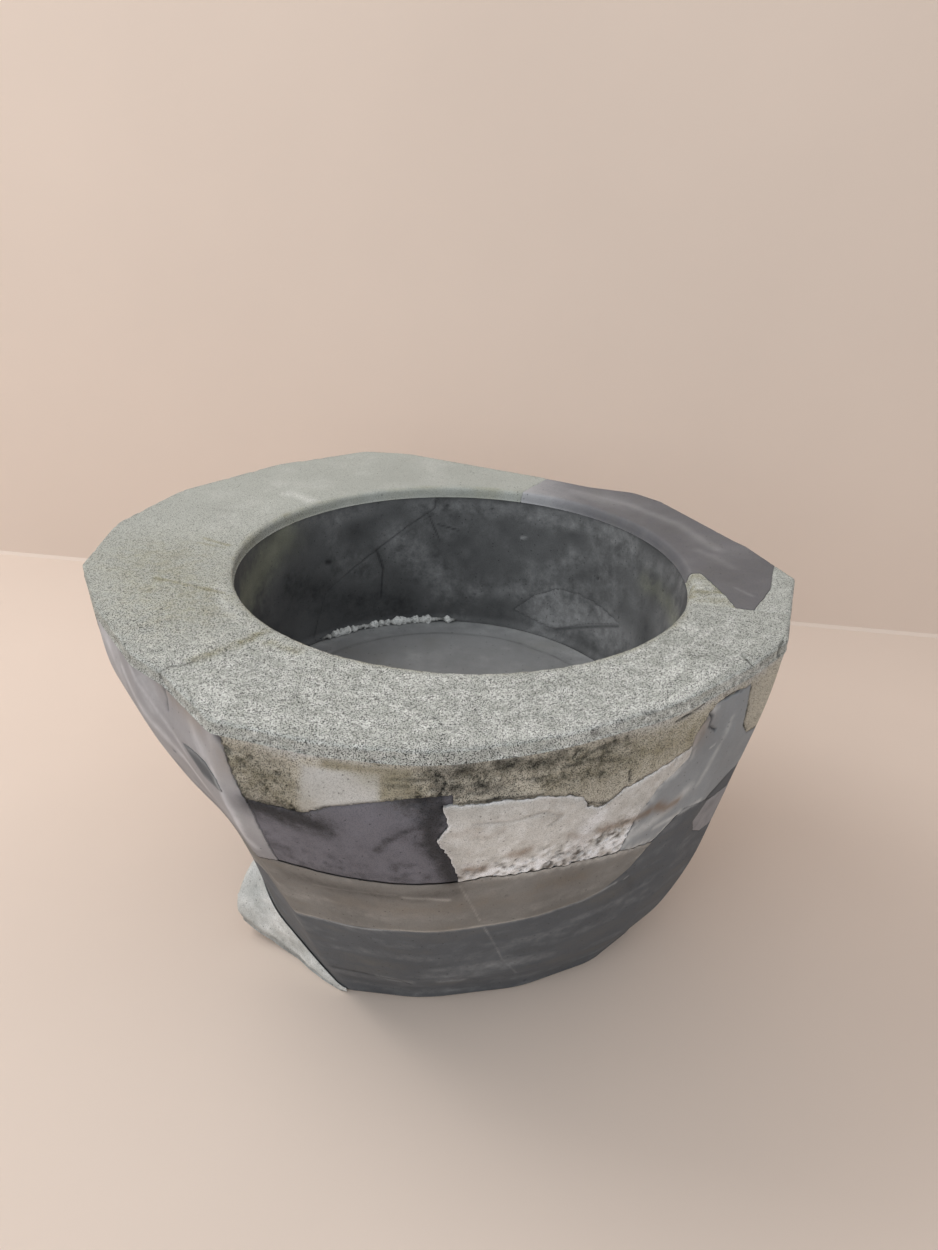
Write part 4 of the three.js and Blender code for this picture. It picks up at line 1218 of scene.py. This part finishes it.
def cast_lining(values):
    """The lining of the well, from under the rim down to the screed's edge."""
    angle = np.linspace(-180, 180, 720, endpoint=False)[None]
    heights = np.linspace(CAP_FOOT - GAP, FLOOR_TOP + FILLET, 76)
    turn = np.linspace(0, 1, 7)[1:]
    down = np.linspace(FLOOR_TOP - 2, LINING_FOOT + 0.5, 5)
    edge = SCREED_EDGE + GAP
    fillet = edge + (WELL_BOTTOM + 0.46 - edge) * (1 - turn ** 2)
    radii = np.concatenate([well_radius(heights), fillet, np.full(len(down), edge)])[:, None]
    levels = np.concatenate([heights, FLOOR_TOP + FILLET * (1 - turn) ** 2, down])[:, None]
    points = polar(angle, radii, levels)
    points[..., 0] += WELL_SHIFT * positive((HEIGHT - levels) / WELL_DEPTH)
    seen = np.degrees(np.arctan2(points[..., 1], points[..., 0]))
    height = points[..., 2]
    coarse, fine = cloud(points, 9, 141), cloud(points, 3, 143)
    x = seen * LINING_ARC
    fields = []
    for _, outline, _, _ in LINING_POURS[:-1]:
        table = unrolled(outline, LINING_ARC)
        turns = [to_outline(x + t * LINING_ARC, height, table) for t in (0, 360)]
        fields.append(np.minimum(*turns) + 0.5 * coarse + 0.3 * fine)
    every = np.broadcast_to(angle, x.shape)
    cast = Cast(every * LINING_ARC, height, fields, [row[0] for row in LINING_POURS])
    fade = np.linspace(1, 0, len(points))[:, None]
    inner = polar(seen, LINING_BACK, LINING_FOOT + fade * (CAP_FOOT - GAP - LINING_FOOT))
    normal = normals(points)
    depth, wear_and_shade = lining_relief(points, seen, height)
    for k, (_, _, pale, dark) in enumerate(LINING_POURS):
        seam = np.exp(-cast.joint(k) ** 2)
        own, shade = depth + 0.3 * seam, wear_and_shade.copy()
        lift(shade, DARK, dark * seam)
        shade[..., BLOOM] += pale
        own[0], own[-len(down):] = 0, 0
        outer = points - normal * (own * values.relief)[..., None]
        cast.build(k, outer, inner, shade, "liner_concrete")


LINING_HAIR = [(118, 262), (116, 242), (117, 211)]
LINING_PALE = [
    ([(97, 222), (108, 262), (113, 285)], 18, 0.35),
    ([(60, 205), (45, 214), (24, 226)], 20, 0.5),
    ([(88, 216), (70, 224), (48, 240)], 10, 0.3),
    ([(71, 277), (72, 276)], 1.8, 0.8),
    ([(130, 300), (90, 300), (50, 299), (10, 297)], 9, 0.3),
]
LINING_DARK = [
    ([(150, 250), (128, 215), (110, 200)], 22, 0.55),
    ([(125, 285), (112, 300)], 14, 0.45),
    ([(135, 261), (134, 260)], 2.6, 1.0),
    ([(102, 296), (98, 267)], 0.8, 0.8),
    ([(98.5, 283), (92, 277)], 0.7, 0.7),
    (LINING_HAIR, 1.2, 0.8),
    ([(30, 240), (10, 230)], 16, 0.35),
    ([(57, 194), (44, 210), (31, 226)], 1.6, 0.6),
]
LINING_STAIN = [
    ([(152, 300), (165, 282), (178, 272)], 20, 1.0),
    ([(-5, 276), (12, 280), (24, 277)], 8, 0.6),
    ([(-160, 280), (-130, 290)], 14, 0.4),
]


def lining_relief(points, seen, height):
    """Mottled lining with seams, a few holes and stains below the mouth."""
    x = seen * LINING_ARC
    wear_and_shade = clean_wear(points, 0.5)
    for channel, rows in ((BLOOM, LINING_PALE), (DARK, LINING_DARK), (STAIN, LINING_STAIN)):
        wear_and_shade[..., channel] = soft_marks(x, height, rows, LINING_ARC)
    bugs = pits(points, 22, 2.4, 155, 0.6)
    lift(wear_and_shade, BLOOM, 0.4 * cloud(points, 34, 151))
    lift(wear_and_shade, DARK, 0.8 * cloud(points, 36, 153) * positive(1 - wear_and_shade[..., BLOOM]), 0.9 * bugs)
    hairs = soft_marks(x, height, [(LINING_HAIR, 1, 0.6)], LINING_ARC)
    depth = 0.3 * (1 + cloud(points, 50, 157)) + 0.1 * (1 + cloud(points, 5, 159)) + bugs + hairs
    return depth, wear_and_shade


# ---- Bead and fin ----

BEAD_START, BEAD_END = 88, 137
FIN_ROWS = 40


def cast_bead():
    """Crumbled bead: a tube along the foot of the lining whose radius wanders in lumps."""
    share = np.linspace(0, 1, 420)[None]
    angle = BEAD_START + (BEAD_END - BEAD_START) * share
    line = polar(angle, 161.5, FLOOR_TOP + 2.4)[0] + np.array([WELL_SHIFT, 0, 0])
    lump = 0.32 + 0.5 * noise(line, 7, 161) + 0.4 * noise(line, 2.8, 163)
    taper = np.sin(np.pi * np.clip(share[0], 0.004, 0.996)) ** 0.3
    size = (1.8 + 5.4 * positive(lump)) * taper
    outward = polar(angle, 1, 0)[0]
    turn = np.radians(np.linspace(0, 360, 20, endpoint=False))[:, None, None]
    ring = np.cos(turn) * outward + np.sin(turn) * np.array([0, 0, 1])
    points = line + ring * size[:, None]
    rough = cloud(points, 3.2, 165)
    points += ring * (2.2 * rough)[..., None]
    points[..., 2] = np.clip(points[..., 2], FLOOR_TOP + 0.1, FLOOR_TOP + 8.4)
    away = np.hypot(points[..., 0] - WELL_SHIFT, points[..., 1])
    limit = np.minimum(1, (WELL_BOTTOM - 0.6) / away)
    points[..., 0] = WELL_SHIFT + (points[..., 0] - WELL_SHIFT) * limit
    points[..., 1] *= limit
    wear_and_shade = clean_wear(points, 0.6)
    wear_and_shade[..., BLOOM] = positive(0.8 + 0.8 * rough)
    wear_and_shade[..., DARK] = positive(1.2 - size / 2.4) + positive(-rough - 0.35)
    tube_piece("mortar_bead", points[::-1], wear_and_shade[::-1], "grout")


def cast_fin():
    """Leaked fin: between low and high at each angle it stands out by
    out (1 - |(t + 0.7) / 1.7| ^ 1.6), with t from -1 below to 1 above; its back follows the
    wall."""
    table = np.array(FIN_SECTIONS)
    angle = np.linspace(table[0, 0], table[-1, 0], 260)
    out, low, high = (np.interp(angle, table[:, 0], table[:, k]) for k in (1, 2, 3))
    smooth = np.ones(9) / 9
    out, low, high = (np.convolve(np.pad(v, 4, "edge"), smooth, "valid") for v in (out, low, high))
    t = np.linspace(-1, 1, FIN_ROWS)[:, None]
    height = (low + high) / 2 + t * (high - low) / 2
    swell = np.maximum(out * (1 - np.abs((t + 0.7) / 1.7) ** 1.6), 0.2)
    wall = outside(np.broadcast_to(angle, height.shape), height)
    face = polar(angle, wall + swell, height)
    back = polar(angle, wall - 0.3, height)[::-1]
    points = np.concatenate([face, back])
    lumps = cloud(points, 13, 173)
    push = 0.45 * cloud(points, 4, 171) + 0.9 * lumps - 1.0
    push *= positive(np.concatenate([swell, swell]) / 6)
    push[0] = 0
    push[FIN_ROWS - 1:] = 0
    points += normals(points) * push[..., None]
    points[..., 2] = np.maximum(points[..., 2], 0.3)
    wear_and_shade = clean_wear(points, 0.4)
    # Painted shade: the lowest rows of the fin's face, its underside, get a dark tone and no bloom.
    under = np.concatenate([positive(-(t + 0.55) * 4) + 0 * height, np.zeros(height.shape)])
    wear_and_shade[..., DARK] = 0.4 * under + 0.4 * pits(points, 6, 2.0, 175, 0.4)
    wear_and_shade[..., BLOOM] = positive(0.35 + 0.6 * lumps) * (1 - under)
    tube_piece("leak_fin", points, wear_and_shade, "grout")


# ---- Stage ----

def plain_material(name, colour, rough):
    """One colour with faint clouds, for the floor and the wall behind, clear from their back."""
    made = bpy.data.materials.new(name)
    made.use_nodes = True
    tree = made.node_tree
    place = linked(tree, "ShaderNodeTexCoord", {}).outputs["Object"]
    fog = linked(tree, "ShaderNodeTexNoise", {"Vector": place, "Scale": 2.0, "Detail": 3})
    tint = spread(tree, fog.outputs["Fac"], *NOISE_SPAN, 0.97, 1.03)
    shade = linked(tree, "ShaderNodeVectorMath", {0: colour, "Scale": tint}, operation="SCALE")
    shader = tree.nodes["Principled BSDF"]
    tree.links.new(shade.outputs[0], shader.inputs["Base Color"])
    shader.inputs["Roughness"].default_value = rough
    clear = linked(tree, "ShaderNodeBsdfTransparent", {}).outputs[0]
    behind = linked(tree, "ShaderNodeNewGeometry", {}).outputs["Backfacing"]
    sided = linked(tree, "ShaderNodeMixShader", {0: behind, 1: shader.outputs[0], 2: clear})
    tree.links.new(sided.outputs[0], tree.nodes["Material Output"].inputs["Surface"])
    return made


def lamp(name, place, target, size, power, colour):
    """Square lamp that faces a point."""
    light = bpy.data.lights.new(name, "AREA")
    light.size, light.energy, light.color = size, power, colour
    made = bpy.data.objects.new(name, light)
    bpy.context.scene.collection.objects.link(made)
    made.location = place
    way = np.array(target) - np.array(place)
    flat = math.hypot(way[0], way[1])
    made.rotation_euler = Euler((math.atan2(flat, -way[2]), 0, math.atan2(-way[0], way[1])))


# Two points of the line where the wall behind meets the floor, in metres.
WALL_LINE = ((-0.6919, 0.7175), (0.6679, 0.5467))
# Section of floor and wall in metres: distance behind that line, height.
FLOOR_PROFILE = [(-4.5, 0), (-0.004, 0), (0, 0.004), (0, 4)]
# Camera: place from the mouth's centre in metres, how far it looks down in degrees, and its focal
# length over the picture's height.
CAMERA_PLACE = (0.0066, -0.811, 0.6663)
CAMERA_DOWN = 26.381
CAMERA_REACH = 1100 / 1250


def set_stage(values):
    """Floor, wall behind, lamps and camera."""
    left, right = np.array(WALL_LINE)
    along = (right - left) / np.linalg.norm(right - left)
    back = np.array([-along[1], along[0]])
    middle = (left + right) / 2
    points = [(*(middle + along * u + back * d), z) for u in (-4, 0, 4) for d, z in FLOOR_PROFILE]
    faces = [(k, k + 4, k + 5, k + 1) for k in (0, 1, 2, 4, 5, 6)]
    mesh = bpy.data.meshes.new("floor_and_wall")
    mesh.from_pydata(points, [], faces)
    mesh.materials.append(plain_material("beige_plaster", values.floor_colour, 0.95))
    floor = bpy.data.objects.new("floor_and_wall", mesh)
    bpy.context.scene.collection.objects.link(floor)

    lamp("key_lamp", (-1.35, 0.45, 1.8), (0, 0, 0.1), 1.2, values.key_power, (1, 0.99, 0.97))
    lamp("front_lamp", (-0.6, -2.2, 1.6), (0, 0, 0.15), 2.0, values.front_power, (0.96, 0.98, 1))
    world = bpy.data.worlds.new("soft_room")
    bpy.context.scene.world = world
    world.use_nodes = True
    sky = world.node_tree.nodes["Background"]
    sky.inputs["Color"].default_value = (*values.room_colour, 1)
    sky.inputs["Strength"].default_value = values.room_light

    camera = bpy.data.cameras.new("camera")
    camera.sensor_width = 36
    camera.lens = 36 * CAMERA_REACH
    view = bpy.data.objects.new("camera", camera)
    bpy.context.scene.collection.objects.link(view)
    view.location = np.array(CAMERA_PLACE) + (*MOUTH_CENTRE, 0)
    pitch = Euler((math.radians(90 - CAMERA_DOWN), 0, 0)).to_matrix()
    roll = Euler((0, 0, math.radians(values.camera_roll))).to_matrix()
    view.rotation_euler = (pitch @ roll).to_euler()
    bpy.context.scene.camera = view
    bpy.context.scene.view_settings.view_transform = "Standard"


# ---- Values a user may change ----

class BowlSizes(PropertyGroup):
    """How finely the bowl is made and how deep its relief is."""

    front_step: FloatProperty(
        name="Front step", description="Degrees between the columns of the front",
        default=0.3, min=0.2, max=2)
    relief: FloatProperty(
        name="Relief",
        description="How deep pits, swells and joints are, as a share of the real ones",
        default=1.0, min=0, max=1.2, subtype="FACTOR")


BowlFinish = type("BowlFinish", (PropertyGroup,), {
    "__doc__": "Colours of the concretes.",
    "__annotations__": {
        f"{slot}_{tone}": FloatVectorProperty(
            name=f"{slot.replace('_', ' ')}, {tone}",
            description=f"The {tone} colour of this concrete",
            default=rgb(row[i]), min=0, max=1, size=3, subtype="COLOR")
        for slot, row in FINISHES.items() for i, tone in enumerate(TONES)
    },
})


class BowlStage(PropertyGroup):
    """Floor, light and camera."""

    floor_colour: FloatVectorProperty(
        name="Floor", description="Colour of the floor and the wall behind",
        default=rgb("e3d2c5"), min=0, max=1, size=3, subtype="COLOR")
    key_power: FloatProperty(
        name="Key lamp", description="Power of the lamp at the upper left",
        default=21, unit="POWER")
    front_power: FloatProperty(
        name="Front lamp", description="Power of the wide lamp in front", default=17, unit="POWER")
    room_colour: FloatVectorProperty(
        name="Room", description="Colour of the light all round",
        default=(0.93, 0.97, 1.0), min=0, max=1, size=3, subtype="COLOR")
    room_light: FloatProperty(
        name="Room light", description="Strength of the light all round", default=0.66, min=0)
    camera_roll: FloatProperty(
        name="Camera roll", description="Turn of the camera about its own axis, in degrees",
        default=2.1)


# ---- Operators ----

class BOWL_OT_wall(Operator):
    """Build all pours of the wall above the foot"""

    bl_idname = "bowl.wall"
    bl_label = "Wall pours"

    def execute(self, context):
        cast_wall(context.scene.bowl_sizes)
        return {"FINISHED"}


class BOWL_OT_base(Operator):
    """Build the foot pour, the drain's collar and the screed"""

    bl_idname = "bowl.base"
    bl_label = "Foot, collar and screed"

    def execute(self, context):
        cast_foot(context.scene.bowl_sizes)
        flat_ring("drain_collar", (0, COLLAR), (0, DRAIN), 0, LINING_FOOT - GAP, "grout",
                  plain_relief, rows=12, cols=180)
        flat_ring("well_floor", (WELL_SHIFT, SCREED_EDGE), (0, DRAIN), LINING_FOOT, FLOOR_TOP,
                  "screed", screed_relief)
        return {"FINISHED"}


class BOWL_OT_rim(Operator):
    """Build the flat rim and its inlays"""

    bl_idname = "bowl.rim"
    bl_label = "Rim pours"

    def execute(self, context):
        cast_rim(context.scene.bowl_sizes)
        return {"FINISHED"}


class BOWL_OT_lining(Operator):
    """Build the lining of the well"""

    bl_idname = "bowl.lining"
    bl_label = "Lining pours"

    def execute(self, context):
        cast_lining(context.scene.bowl_sizes)
        return {"FINISHED"}


class BOWL_OT_mortar(Operator):
    """Build the crumbled bead in the well and the leaked fin at the foot"""

    bl_idname = "bowl.mortar"
    bl_label = "Bead and fin"

    def execute(self, context):
        cast_bead()
        cast_fin()
        return {"FINISHED"}


class BOWL_OT_stage(Operator):
    """Set the floor, the wall behind, the lamps and the camera"""

    bl_idname = "bowl.stage"
    bl_label = "Stage"

    def execute(self, context):
        set_stage(context.scene.bowl_stage)
        return {"FINISHED"}


BUILDERS = (BOWL_OT_wall, BOWL_OT_base, BOWL_OT_rim, BOWL_OT_lining, BOWL_OT_mortar, BOWL_OT_stage)


class BOWL_PT_panel(Panel):
    """Sidebar panel that lists the builders and their values."""

    bl_idname = "BOWL_PT_panel"
    bl_label = "Bowl Planter"
    bl_space_type = "VIEW_3D"
    bl_region_type = "UI"
    bl_category = "Bowl Planter"

    def draw(self, context):
        layout = self.layout
        for group in (getattr(context.scene, key) for key in GROUPS):
            box = layout.box()
            for key in group.__annotations__:
                box.prop(group, key)
        for builder in BUILDERS:
            layout.operator(builder.bl_idname)


GROUPS = {"bowl_sizes": BowlSizes, "bowl_finish": BowlFinish, "bowl_stage": BowlStage}


def register():
    """Adds the classes and hangs their values on the scene."""
    for cls in (*GROUPS.values(), *BUILDERS, BOWL_PT_panel):
        bpy.utils.register_class(cls)
    for key, cls in GROUPS.items():
        setattr(bpy.types.Scene, key, PointerProperty(type=cls))


def unregister():
    """Takes them away again."""
    for key in GROUPS:
        delattr(bpy.types.Scene, key)
    for cls in reversed((*GROUPS.values(), *BUILDERS, BOWL_PT_panel)):
        bpy.utils.unregister_class(cls)


def main():
    """Builds everything in order and writes down both boxes."""
    register()
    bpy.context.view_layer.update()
    for builder in BUILDERS:
        group, name = builder.bl_idname.split(".")
        getattr(getattr(bpy.ops, group), name)()


if __name__ == "__main__":
    main()
